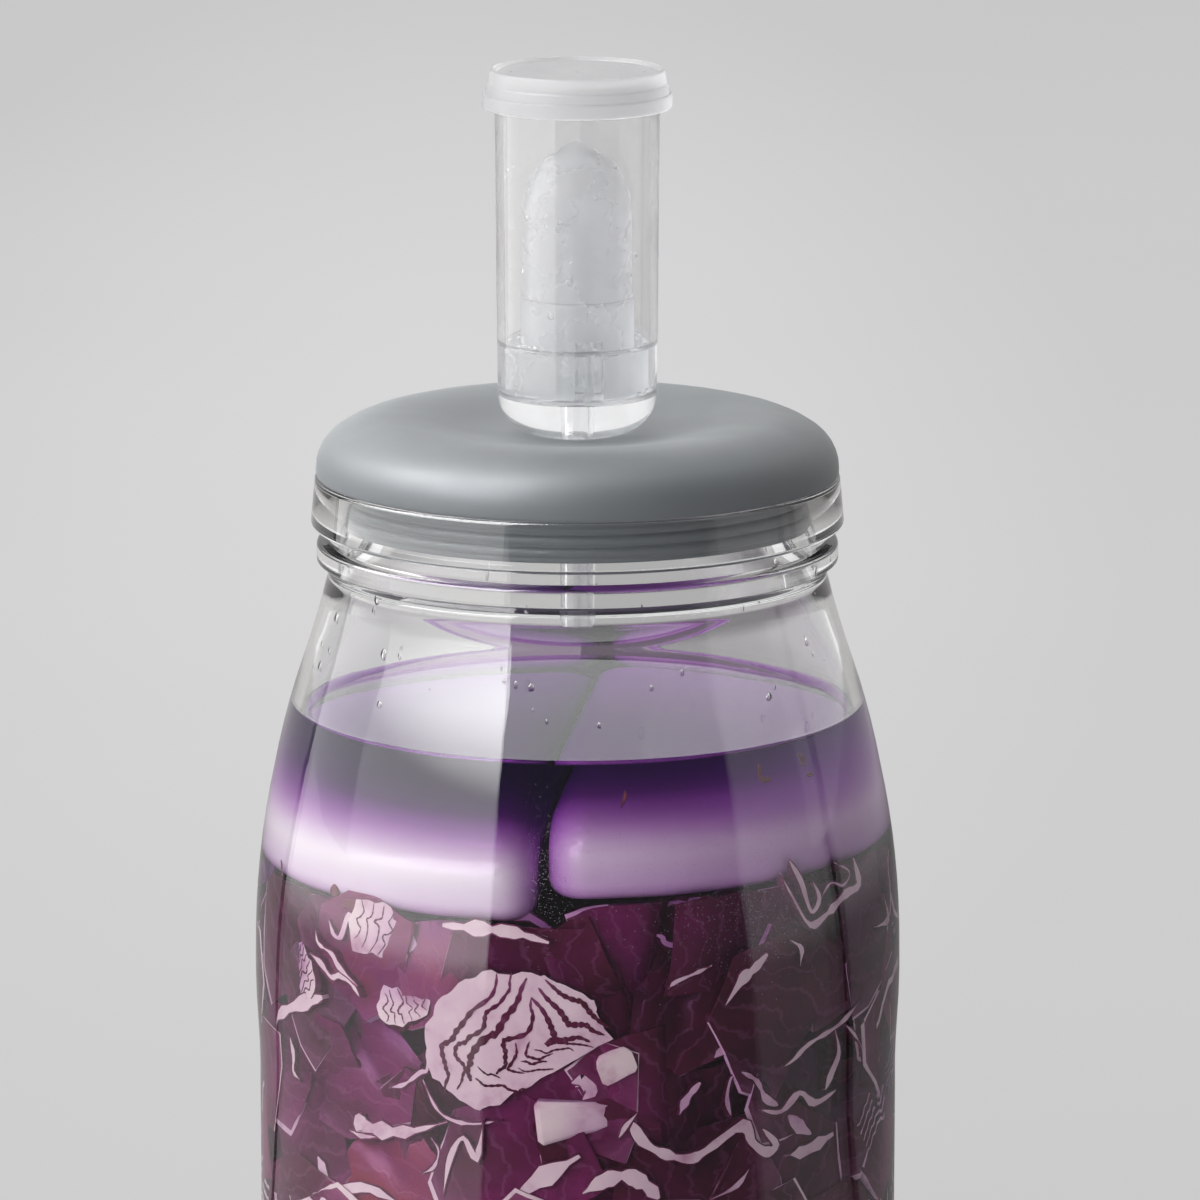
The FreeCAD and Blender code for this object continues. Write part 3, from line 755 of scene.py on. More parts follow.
def make_airlock_dew():
    """Droplets inside the airlock's wall, and bubbles along its waterline."""
    rng = random.Random(12)
    pattern = drop_pattern("dew")
    drops = []
    for number in range(44):
        height = rng.gauss(284, 8)
        if not WATER_LEVEL + 6 < height < CAP_FOOT - 3:
            continue
        width = rng.choice((0.22, 0.3, 0.35, 0.5))
        out = AIRLOCK_INSIDE + 0.6 * (height - AIRLOCK_FLOOR) / 75 - 0.12
        drops.append(set_round(pattern, rng.uniform(-85, 85), height, out, width,
                               width * rng.uniform(1.0, 1.4), 0.3 * width))
    for angle, height, width, tall in ((-12, 284.4, 0.6, 0.65), (-40, 284.8, 0.65, 0.7),
                                       (-5, 270.7, 0.7, 1.3), (-20, 262.2, 0.75, 0.85),
                                       (78, 296.6, 0.45, 1.1), (160, 280, 0.6, 0.8)):
        drops.append(set_round(pattern, angle, height, AIRLOCK_INSIDE + 0.3, width, tall, 0.22))
    for number in range(46):
        width = rng.uniform(0.25, 0.7)
        out = rng.choice((AIRLOCK_INSIDE - 0.5 - width, 13.4 + 0.3 + width))
        drops.append(set_round(pattern, rng.uniform(-180, 180), WATER_LEVEL + 0.9 + 0.4 * width,
                               out, width, 0.7 * width, width))
    discard(pattern)
    fit_in(joined(drops, "airlock_dew"), water(), "water")


def make_airlock_water():
    wall = AIRLOCK_INSIDE + SINK
    tube = TUBE - SINK
    fill = turned("airlock_water_fill", [
        (tube, AIRLOCK_FLOOR - SINK),
        (wall - 3, AIRLOCK_FLOOR - SINK, 3, "left"),
        (wall, AIRLOCK_FLOOR + 3 - SINK),
        (wall, WATER_LEVEL + 1.4),
        (wall - SINK, WATER_LEVEL + 1.3, 1.8, "left"),
        (wall - SINK - 1.5, WATER_LEVEL),
        (TUBE + 1.4, WATER_LEVEL, 1.8, "left"),
        (TUBE, WATER_LEVEL + 1.2),
        (tube, WATER_LEVEL + 1.3),
    ], closed=True, steps=96)
    fit_in(fill, water(), "water", "airlock_water")


# ------------------------------------------------------------ brine

def make_brine():
    side = outline(inner_side(-SINK))
    rise = 1.7
    wall = [point for point in side if point.y < BRINE_LEVEL - 2]
    above = next(point for point in side if point.y >= BRINE_LEVEL + rise)
    below = wall[-1]
    share = (BRINE_LEVEL + rise - below.y) / (above.y - below.y)
    contact = below.lerp(above, share)
    inner = contact.x - SINK
    surface = [
        (contact.x, contact.y),
        (inner, BRINE_LEVEL + rise - 0.1, 2.6, "left"),
        (inner - 2.4, BRINE_LEVEL),
        (0, BRINE_LEVEL),
    ]
    fill = turned("brine_fill", wall + surface, steps=192)
    fit_in(fill, purple_brine(), "purple_brine", "brine")


# ------------------------------------------------------------ cut cabbage

SKIN, CUT = 0, 1
INNER_SIDE = outline(inner_side(0.0))
JAR_FLOOR = 7.5
STONE_SIDE = 7.5  # the side of a CAD stone stands up this far; above it the top is domed
SIDE_STRETCH = 1.15
DOME_STRETCH = 0.68
STONE_FOOT = {-1: foot_of("stone_left"), 1: foot_of("stone_right")}
STONE_REACH = 1.6  # nearer to the glass than this, a leaf may stand before a stone
STONE_CLEARANCE = 0.3
GAP_ANGLE = -6  # where the gap between the stones meets the glass


def inside_radius(height):
    """Inner radius of the glass at a height."""
    for low, high in zip(INNER_SIDE, INNER_SIDE[1:]):
        if low.y <= height <= high.y and high.y > low.y:
            return low.x + (high.x - low.x) * (height - low.y) / (high.y - low.y)
    return INNER_SIDE[-1].x


INSIDE = [inside_radius(max(height, JAR_FLOOR)) for height in range(int(BRINE_LEVEL))]


def inside_at(height):
    """The same from whole millimetres, for the many points of the leaves."""
    low = min(max(int(height), 0), len(INSIDE) - 2)
    return INSIDE[low] + (INSIDE[low + 1] - INSIDE[low]) * min(max(height - low, 0), 1)


def make_stone(node, gap):
    """A half-moon stone, close to the glass along its side, with a low domed top."""
    stone = added(f"{node}_weight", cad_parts[node].data.copy())
    only(stone)
    edit()
    bpy.ops.mesh.remove_doubles(threshold=0.002 * MM)
    leave()
    foot = foot_of(node)
    for vertex in stone.data.vertices:
        rise = vertex.co.z / MM - foot
        side = min(rise, STONE_SIDE)
        vertex.co.z = (foot + SIDE_STRETCH * side + DOME_STRETCH * (rise - side)) * MM
    room, radius = min((inside_at(vertex.co.z / MM) - vertex.co.xy.length / MM, vertex.co.xy.length / MM)
                       for vertex in stone.data.vertices)
    spread = 1 + (room - gap) / radius
    for vertex in stone.data.vertices:
        vertex.co.x *= spread
        vertex.co.y *= spread
    only(stone)
    smooth(35)
    fit_in(stone, white_stoneware(), "white_stoneware", node)


def flat_sheet(name, width, height, across, up):
    """A flat leaf before it is cut and waved; stays in edit mode."""
    deselect()
    bpy.ops.mesh.primitive_grid_add(x_subdivisions=across, y_subdivisions=up, size=MM)
    sheet = named(name)
    edit()
    bpy.ops.transform.resize(value=(width, height, 1))
    return sheet


def knife(angle, distance):
    """Cut off all that lies beyond a straight line, square to an angle."""
    across = Vector((math.cos(math.radians(angle)), math.sin(math.radians(angle)), 0))
    bpy.ops.mesh.select_all(action="SELECT")
    bpy.ops.mesh.bisect(plane_co=across * distance * MM, plane_no=across, clear_outer=True)


class Waves:
    """The ruffle of a leaf: three crossing waves that grow away from the rib."""

    def __init__(self, rng, depth, length, curl=0.0):
        self.curl = curl
        self.parts = []
        for share, shorter in ((0.55, 1.0), (0.3, 0.52), (0.15, 0.27)):
            way = rng.uniform(-0.6, 0.6)
            self.parts.append((depth * share, TURN / (length * shorter), math.cos(way),
                               math.sin(way), rng.uniform(0, TURN)))

    def rise(self, x, y, far):
        height = sum(depth * math.sin(pace * (x * along + y * across) + start)
                     for depth, pace, along, across, start in self.parts)
        return height * (0.3 + 0.7 * far) + self.curl * (x * x + 0.4 * y * y)


def wave_sheet(sheet, waves, width, lift=0.0):
    """Move the sheet's points onto the waves, and note where the leaf is thick."""
    rib = sheet.vertex_groups.new(name="rib")
    for vertex in sheet.data.vertices:
        x, y = vertex.co.x / MM, vertex.co.y / MM
        far = min(max(x / width + 0.5, 0), 1)
        vertex.co.z += (waves.rise(x, y, far) + lift) * MM
        vertex.co.y += 0.35 * waves.rise(y, x, far) * MM
        rib.add([vertex.index], 1 - 0.85 * far, "REPLACE")


def thicken(sheet, thickness, finishes, border=0.22, thinnest=0.3):
    """Give a leaf its thickness, and its cut edges a pale middle between two skins."""
    coat(sheet, *finishes)
    modify(sheet, "SOLIDIFY", thickness=thickness * MM, offset=0.0, use_even_offset=True,
           material_offset_rim=CUT, vertex_group="rib", thickness_vertex_group=thinnest)
    edit("DESELECT")
    bpy.ops.mesh.select_mode(type="FACE")
    sheet.active_material_index = CUT
    bpy.ops.object.material_slot_select()
    sheet.active_material_index = SKIN
    bpy.ops.object.material_slot_assign()
    bpy.ops.mesh.inset(thickness=border * MM, use_even_offset=True)
    sheet.active_material_index = CUT
    bpy.ops.object.material_slot_assign()
    bpy.ops.mesh.select_mode(type="VERT")
    leave()
    smooth(45)


def keep_rib_pale(sheet, width, share):
    """Leave the white flesh only on the thick side of a broad leaf."""
    for polygon in sheet.data.polygons:
        if polygon.material_index == CUT and polygon.center.x / MM > width * (share - 0.5):
            polygon.material_index = SKIN


def cut_leaf(name, rng, finishes, width, height, thickness, depth, length, curl, knives, pale=1.0):
    """One leaf, chopped to a few straight sides."""
    sheet = flat_sheet(name, width, height, 15, 10)
    for angle, distance in knives:
        knife(angle, distance)
    leave()
    wave_sheet(sheet, Waves(rng, depth, length, curl), width)
    thicken(sheet, thickness, finishes, border=0.3, thinnest=0.2)
    keep_rib_pale(sheet, width, pale)
    return sheet


def leaf_stack(name, rng, finishes, count, width, height, thickness, gap, depth, length, knives):
    """Leaves that grew close together, chopped as one piece."""
    waves = Waves(rng, depth, length, 0.006)
    layers = []
    for number in range(count):
        sheet = flat_sheet(name, width - 2.5 * number, height, 15, 6)
        for angle, distance in knives:
            knife(angle, distance - 0.6 * number)
        leave()
        wave_sheet(sheet, waves, width, lift=gap * number)
        thicken(sheet, thickness, finishes)
        layers.append(sheet)
    return joined(layers, name)


SOAKED = 1.22  # a standing leaf's cut side is this much wider than its table says
TIP = 0.3  # how wide such a side is at its ends, and how much it gains at each step from there
TIP_GAIN = 0.24


def edge_leaf(name, rng, finishes, places, start, end, reach=9.0, thinnest=0.12):
    """A leaf standing on edge: its cut side follows places on the glass, (angle, height)."""
    path = smooth_path(places, 4)
    last = len(path) - 1
    start, end = SOAKED * start, SOAKED * end
    widest = max(start, end) * 1.15
    middle = Vector((sum(place.x for place in path), sum(place.y for place in path))) / len(path)
    radius = inside_at(middle.y)
    bend = Waves(rng, 2.2, 30)
    swell = Waves(rng, 0.3, 6.5)
    sheet = flat_sheet(name, last, reach, last, 3)
    leave()
    rib = sheet.vertex_groups.new(name="rib")
    for vertex in sheet.data.vertices:
        number = round(vertex.co.x / MM + last / 2)
        down = vertex.co.y / MM - reach / 2
        place = path[number]
        along = math.radians(place.x - middle.x) * radius
        up = place.y - middle.y
        deep = (down / reach) ** 2
        taper = min(1.0, TIP + TIP_GAIN * min(number, last - number))
        width = taper * ((start + (end - start) * number / last) / widest + swell.rise(along, up, 1))
        rib.add([vertex.index], max((width - thinnest) / (1 - thinnest), 0), "REPLACE")
        vertex.co = Vector((along + deep * bend.rise(up, along, 1),
                            up + deep * bend.rise(along, up, 1) - 1.5 * deep, down)) * MM
    thicken(sheet, widest, finishes, border=0.34, thinnest=thinnest)
    return sheet, middle


def rib_chunk(name, rng, finishes, width, height, thickness):
    """A chunk of the thick pale rib, cut on all sides."""
    deselect()
    bpy.ops.mesh.primitive_cube_add(size=MM)
    chunk = named(name)
    edit()
    bpy.ops.transform.resize(value=(width, height, thickness))
    bpy.ops.mesh.bevel(offset=0.16 * thickness * MM, segments=1, affect="EDGES")
    bpy.ops.mesh.select_all(action="SELECT")
    bpy.ops.mesh.subdivide(number_cuts=3)
    leave()
    waves = Waves(rng, 1.6, 22, 0.01)
    for vertex in chunk.data.vertices:
        x, y = vertex.co.x / MM, vertex.co.y / MM
        taper = 1 - 0.45 * (x / width + 0.5)
        vertex.co.y *= taper
        vertex.co.z = vertex.co.z * taper + waves.rise(x, y, 0.7) * MM
    coat(chunk, *finishes)
    for polygon in chunk.data.polygons:
        polygon.material_index = SKIN if abs(polygon.normal.y) > 0.8 else CUT
    only(chunk)
    smooth(45)
    return chunk


def smooth_path(points, parts):
    """Points along a smooth line through the given ones."""
    points = [Vector(point) for point in points]
    ends = [points[0] * 2 - points[1], *points, points[-1] * 2 - points[-2]]
    path = []
    for before, start, end, after in zip(ends, ends[1:], ends[2:], ends[3:]):
        for number in range(parts):
            t = number / parts
            path.append(0.5 * (2 * start + (end - before) * t
                               + (2 * before - 5 * start + 4 * end - after) * t * t
                               + (3 * start - before - 3 * end + after) * t ** 3))
    return path + [points[-1]]


def seam(name, points, width, skin):
    """The purple skins between two layers of a sliced head, standing in the slice."""
    depth = 2.4
    path = smooth_path(points, 4)
    last = len(path) - 1
    sheet = flat_sheet(name, last, depth, last, 1)
    leave()
    rib = sheet.vertex_groups.new(name="rib")
    for vertex in sheet.data.vertices:
        number = round(vertex.co.x / MM + last / 2)
        down = vertex.co.y / MM - depth / 2
        place = path[number]
        fullness = math.sin(math.pi * number / last) ** 0.5
        rib.add([vertex.index], fullness * (0.72 + 0.28 * math.sin(1.7 * number + place.x)), "REPLACE")
        vertex.co = Vector((place.x, place.y, down)) * MM
    coat(sheet, skin)
    modify(sheet, "SOLIDIFY", thickness=width * MM, offset=0.0, vertex_group="rib",
           thickness_vertex_group=0.16)
    smooth(50)
    return sheet


def sliced_head(name, rng, finishes, knives, seams, depth=5.0, scale=1.0, line=1.2):
    """A slice through the head: pale flesh with the skins of its folded layers."""
    flesh = flat_sheet(name, 50, 40, 26, 20)
    for angle, distance in knives:
        knife(angle, distance * scale)
    leave()
    waves = Waves(rng, 0.7, 8)
    for vertex in flesh.data.vertices:
        x, y = vertex.co.x / MM, vertex.co.y / MM
        vertex.co.x += waves.rise(y, x, 1) * MM
        vertex.co.y += waves.rise(x, y, 1) * MM
        vertex.co.z += 0.5 * waves.rise(1.7 * x, 1.3 * y, 0.4) * MM
    coat(flesh, *finishes)
    modify(flesh, "SOLIDIFY", thickness=depth * MM, offset=-1.0, material_offset_rim=0)
    for polygon in flesh.data.polygons:
        polygon.material_index = CUT if polygon.normal.z > 0.5 else SKIN
    smooth(45)
    folds = []
    for width, points in seams:
        jagged = [Vector(point) * scale + Vector((rng.uniform(-0.35, 0.35), rng.uniform(-0.35, 0.35)))
                  for point in smooth_path(points, 2)]
        folds.append(seam(name, jagged, width * line, finishes[SKIN]))
    proud = 0.22
    for fold in folds:
        for vertex in fold.data.vertices:
            vertex.co.z += proud * MM
    return joined([flesh, *folds], name)


def soft_limit(value, softness=1.1):
    """Never below zero, and unchanged well above it."""
    if value > 30 * softness:
        return value
    return softness * math.log1p(math.exp(value / softness))


def press_in(piece, angle, height, depth, spin=0.0, lean=0.0, swing=0.0, tone=0.5, flip=False,
             nearest=0.3):
    """A copy of a piece, turned, set in place and pressed against the glass.

    angle is round the jar from the front, to the right; depth is from the glass in.
    """
    copy = copied(piece)
    turn = (Matrix.Rotation(math.radians(spin), 3, "Z") @ Matrix.Rotation(math.radians(swing), 3, "Y")
            @ Matrix.Rotation(math.radians(lean), 3, "X"))
    radius = inside_at(height)
    for vertex in copy.data.vertices:
        place = turn @ vertex.co / MM
        inward = nearest + soft_limit(depth - nearest - place.z)
        level = JAR_FLOOR + soft_limit(height + place.y - JAR_FLOOR)
        if inward > STONE_REACH:
            roof = STONE_FOOT[1 if angle > GAP_ANGLE else -1] - STONE_CLEARANCE
            level = roof - soft_limit(roof - level)
        around = math.radians(angle) + (-place.x if flip else place.x) / radius
        out = inside_at(level) - inward
        vertex.co = Vector((out * math.sin(around), -out * math.cos(around), level)) * MM
    if flip:
        copy.data.flip_normals()
    layer = copy.data.attributes.new("tone", "FLOAT", "POINT")
    layer.data.foreach_set("value", [tone] * len(copy.data.vertices))
    return copy


def leaf_kinds(finishes):
    """The pieces that the heap is made of; each is modelled once."""
    skin_and_cut, pale = finishes
    rng = random.Random(7)
    flats, ribbons, stacks = [], [], []
    flat_plans = [
        (40, 32, 2.6, 2.2, 26, 0.010, [(38, 17), (140, 16), (-100, 13)]),
        (34, 30, 3, 2.6, 20, -0.008, [(70, 12), (-35, 15), (-150, 14)]),
        (46, 26, 2.2, 1.8, 30, 0.006, [(20, 19), (160, 20), (-80, 11)]),
        (30, 36, 2.8, 3, 18, 0.012, [(55, 14), (125, 13), (-60, 15), (-120, 14)]),
        (26, 24, 3.4, 1.6, 16, -0.010, [(45, 12), (-45, 12), (180, 11)]),
    ]
    for number, (width, height, thickness, depth, length, curl, knives) in enumerate(flat_plans):
        flats.append(cut_leaf(f"flat_leaf_{number}", rng, skin_and_cut, width, height, thickness,
                              depth, length, curl, knives, pale=0.3))
    ribbon_plans = [
        (44, 18, 3.4, 4, 22, 0.012), (36, 20, 2.8, 3.4, 14, -0.010), (50, 16, 2.6, 5, 28, 0.004),
        (30, 16, 4.2, 2.6, 20, 0.016), (40, 18, 2.2, 3.8, 11, 0),
    ]
    for number, (width, height, thickness, depth, length, curl) in enumerate(ribbon_plans):
        knives = [(rng.uniform(-20, 20), width * 0.47), (rng.uniform(160, 200), width * 0.47)]
        ribbons.append(cut_leaf(f"standing_leaf_{number}", rng, skin_and_cut, width, height,
                                thickness, depth, length, curl, knives))
    stack_plans = [(4, 30, 14, 2.0, 3.0, 3.2, 17), (5, 24, 14, 1.6, 2.4, 2.4, 12),
                   (3, 34, 16, 2.6, 3.8, 4, 24)]
    for number, (count, width, height, thickness, gap, depth, length) in enumerate(stack_plans):
        stacks.append(leaf_stack(f"leaf_stack_{number}", rng, skin_and_cut, count, width, height,
                                 thickness, gap, depth, length, [(10, width * 0.44)]))
    chunks = [rib_chunk("rib_chunk_0", rng, pale, 19, 11, 8), rib_chunk("rib_chunk_1", rng, pale, 26, 9, 6)]
    return flats, ribbons, stacks, chunks


HEART_KNIVES = [
    (-59, 11), (-20, 23), (25, 20.5), (62, 17), (90, 15.6), (125, 17.6), (150, 19.6),
    (176, 21.6), (205, 22.5), (240, 19.5),
]
HEART_SEAMS = [
    (1.3, [(-4.4, 15.5), (-5.2, 10.5), (-9.5, 6.2), (-13, 2.6), (-14.6, -0.6), (-17.4, -2.8), (-16.6, -6.6),
         (-16.2, -10), (-17.4, -14)]),
    (1.1, [(-0.4, 15.6), (-1.4, 12), (-3.4, 8.6), (-6.6, 6), (-7.4, 2.2), (-10.6, -0.2), (-13, -1.8),
         (-14.3, -3.8), (-12.4, -6.6), (-12.2, -9.6), (-14.2, -12.8)]),
    (1.8, [(2.8, 14.4), (0.8, 9.8), (-1.8, 5.4), (-4.4, 1.6), (-7.6, -1), (-10.2, -4.4), (-11.1, -8.2),
         (-10.6, -10.4)]),
    (1.2, [(3.9, 10), (4, 6), (3.2, 1.6), (-1.6, 0.4), (-2.8, -1.6), (-1.8, -4.4), (-2.4, -7),
         (-4.6, -8.6)]),
    (1.6, [(4.1, 10.2), (8, 4.4), (9.2, 1.2), (8, -0.6), (12.6, 0.8), (17.5, 0.2)]),
    (1.5, [(5.6, 12.8), (10.2, 7.6), (12.9, 4.4), (16.4, 4), (20.6, 1.2)]),
    (1.3, [(7.4, 14.2), (11.4, 10.8), (15.6, 9), (18.6, 5.6), (22, 3)]),
    (0.8, [(0.2, -0.8), (0.6, -4.2), (-1.2, -6.6), (2, -7.6)]),
    (0.7, [(3.4, -0.4), (3, -3.2), (5.6, -4), (9, -3)]),
    (0.7, [(1.8, -4.8), (4.4, -5.6), (7.4, -4.6)]),
    (0.5, [(1.2, -6.4), (4, -7.4), (7, -6.6), (9, -6.8)]),
    (0.5, [(4.6, -2.2), (7.4, -2.8), (11, -1.6), (14, -2.2)]),
    (0.7, [(-9.4, -9.4), (-7, -11.4), (-3, -11), (0.5, -12), (3, -11.4)]),
    (0.5, [(-8.6, -6.8), (-6.6, -8.8), (-5.2, -8.4), (-3.4, -9.6)]),
    (0.6, [(7, -0.8), (10, -0.4), (14, -0.6), (18, -1.2)]),
]
SMALL_KNIVES = [(-75, 8.0), (-20, 13.0), (30, 14.0), (80, 10.5), (120, 12.0), (170, 14.5), (215, 13.0)]
SMALL_SEAMS = [
    (1, [(-12, 8), (-9, 4), (-11, 1), (-8, -2), (-9, -7)]),
    (0.9, [(-7, 10), (-5.4, 5), (-7.4, 2.4), (-4.6, -1.4), (-5.6, -7.5)]),
    (1.1, [(-2, 10.4), (-1.4, 6), (-3.4, 3.4), (0, 0.4), (-1.4, -7.8)]),
    (0.8, [(2.6, 10.4), (2, 6.4), (4.2, 3.6), (1.8, 0.6), (3.2, -2.4), (2, -7.6)]),
    (1, [(7.2, 9.6), (5.8, 6), (8.4, 3.2), (6, 0.4), (7.6, -6.8)]),
    (0.8, [(11.4, 7), (9.6, 4), (11.8, 1.2), (9.8, -4.6)]),
]


HEAP_FOOT = 13
HEAP_RISE = 113
FACE_FOOT = 50  # at the front above this height, the outer leaves are listed one by one
FACE_MIDDLE = -4  # the middle of the front whose leaves are listed, and how far it goes either way
FACE_REACH = 72


def heap_leaves(kinds, rng):
    """Three uneven layers of leaves all round the jar, the deepest first."""
    flats, ribbons, stacks, chunks = kinds
    layers = [(11.0, 15, 7, (5, 4, 1, 0)), (5.5, 17, 8, (5, 5, 2, 1)), (1.8, 17, 8, (6, 6, 3, 1))]
    leaves = []
    for depth, around, rows, shares in layers:
        for row in range(rows):
            for column in range(around):
                kind = rng.choices((flats, ribbons, stacks, chunks), shares)[0]
                flat = kind is flats
                angle = 360 * (column + 0.5 * (row % 2) + rng.uniform(-0.35, 0.35)) / around
                angle = (angle + 180) % 360 - 180
                height = HEAP_FOOT + HEAP_RISE * (row + 0.5 + rng.uniform(-0.35, 0.35)) / rows
                place = dict(
                    angle=angle, height=height, depth=depth + rng.uniform(-1.5, 1.5) + (0 if flat else 6),
                    spin=rng.uniform(0, 360), lean=rng.uniform(-35, 35) if flat else rng.uniform(62, 105),
                    swing=rng.uniform(-30, 30), tone=rng.uniform(0.1, 0.95), flip=rng.random() < 0.5)
                leaf = rng.choice(kind)
                by_hand = abs(angle - FACE_MIDDLE) < FACE_REACH and height > FACE_FOOT
                if depth > 10 or not by_hand:
                    leaves.append(press_in(leaf, **place, nearest=6.0 if by_hand else 0.5))
    return leaves


FACE_LEAVES = [
    # flat leaf, angle, height, depth, spin, lean, swing, tone, mirrored
    # The listed tones are partly the leaves' own colour and partly painted light: lighter on the left,
    # towards the lamp, and darker on the right.
    (4, -26, 118, 3, 15, -10, 8, 0.85, False),
    (3, -43, 119, 3.4, 60, 8, -10, 0.78, True),
    (1, -43, 90, 2.6, 80, -8, 12, 0.72, False),
    (4, -52.5, 88, 3.4, 95, 0, -16, 0.62, True),
    (3, -70, 84, 2.8, 85, 6, 10, 0.7, False),
    (0, -60.5, 67, 2.4, 75, -6, 10, 0.62, True),
    (1, -38.5, 66, 1.6, 78, -8, 10, 1.15, False),
    (0, -13, 72, 1.8, 22, -10, 6, 0.72, False),
    (2, -4.5, 93, 2.4, 20, 10, 0, 0.66, True),
    (4, -31.5, 82, 4.2, 30, 12, 0, 0.25, False),
    (2, -9, 118, 5, 4, 14, 0, 0.3, False),
    (1, 22.5, 110, 4.4, 40, -8, 8, 0.35, True),
    (0, 38.5, 106, 1.6, 66, 6, -10, 0.34, False),
    (1, 15, 94, 2.2, 35, 10, 10, 0.42, False),
    (4, 56.5, 112, 3, 80, 0, 12, 0.4, True),
    (3, 60, 74, 2.6, 85, -8, 8, 0.3, False),
    (2, 22, 66, 2.6, -8, -12, 0, 0.28, True),
    (0, 44, 64, 2.4, 30, 8, 6, 0.36, True),
    (4, 5, 115, 5, 20, 0, 10, 0.5, False),
    (3, 4, 74, 4.2, 60, 10, -8, 0.3, False),
    (1, -28, 62, 4.4, 10, 0, 12, 0.4, True),
    (2, -52, 112, 5.5, 50, 0, 10, 0.2, False),
    (0, 47, 88, 5, 20, -10, 10, 0.16, False),
    (2, -22, 88, 5.5, 40, 10, 0, 0.3, False),
    (1, 28, 84, 5.4, 10, 8, -10, 0.14, True),
    (3, 70, 100, 3.4, 70, 8, 10, 0.25, False),
    (2, 66, 122, 3.6, 80, 0, 14, 0.3, True),
    (0, -66, 118, 4.6, 40, 10, 8, 0.42, False),
    (1, 14, 124, 6, 20, 14, 8, 0.62, False),
    (2, 32, 124, 5, -12, 10, -8, 0.5, True),
    (4, 48, 122, 4, 50, 0, 10, 0.45, False),
    (3, -50, 122, 5.5, 20, 10, 0, 0.55, False),
    (4, -6, 110, 6, 70, 8, 0, 0.55, True),
]
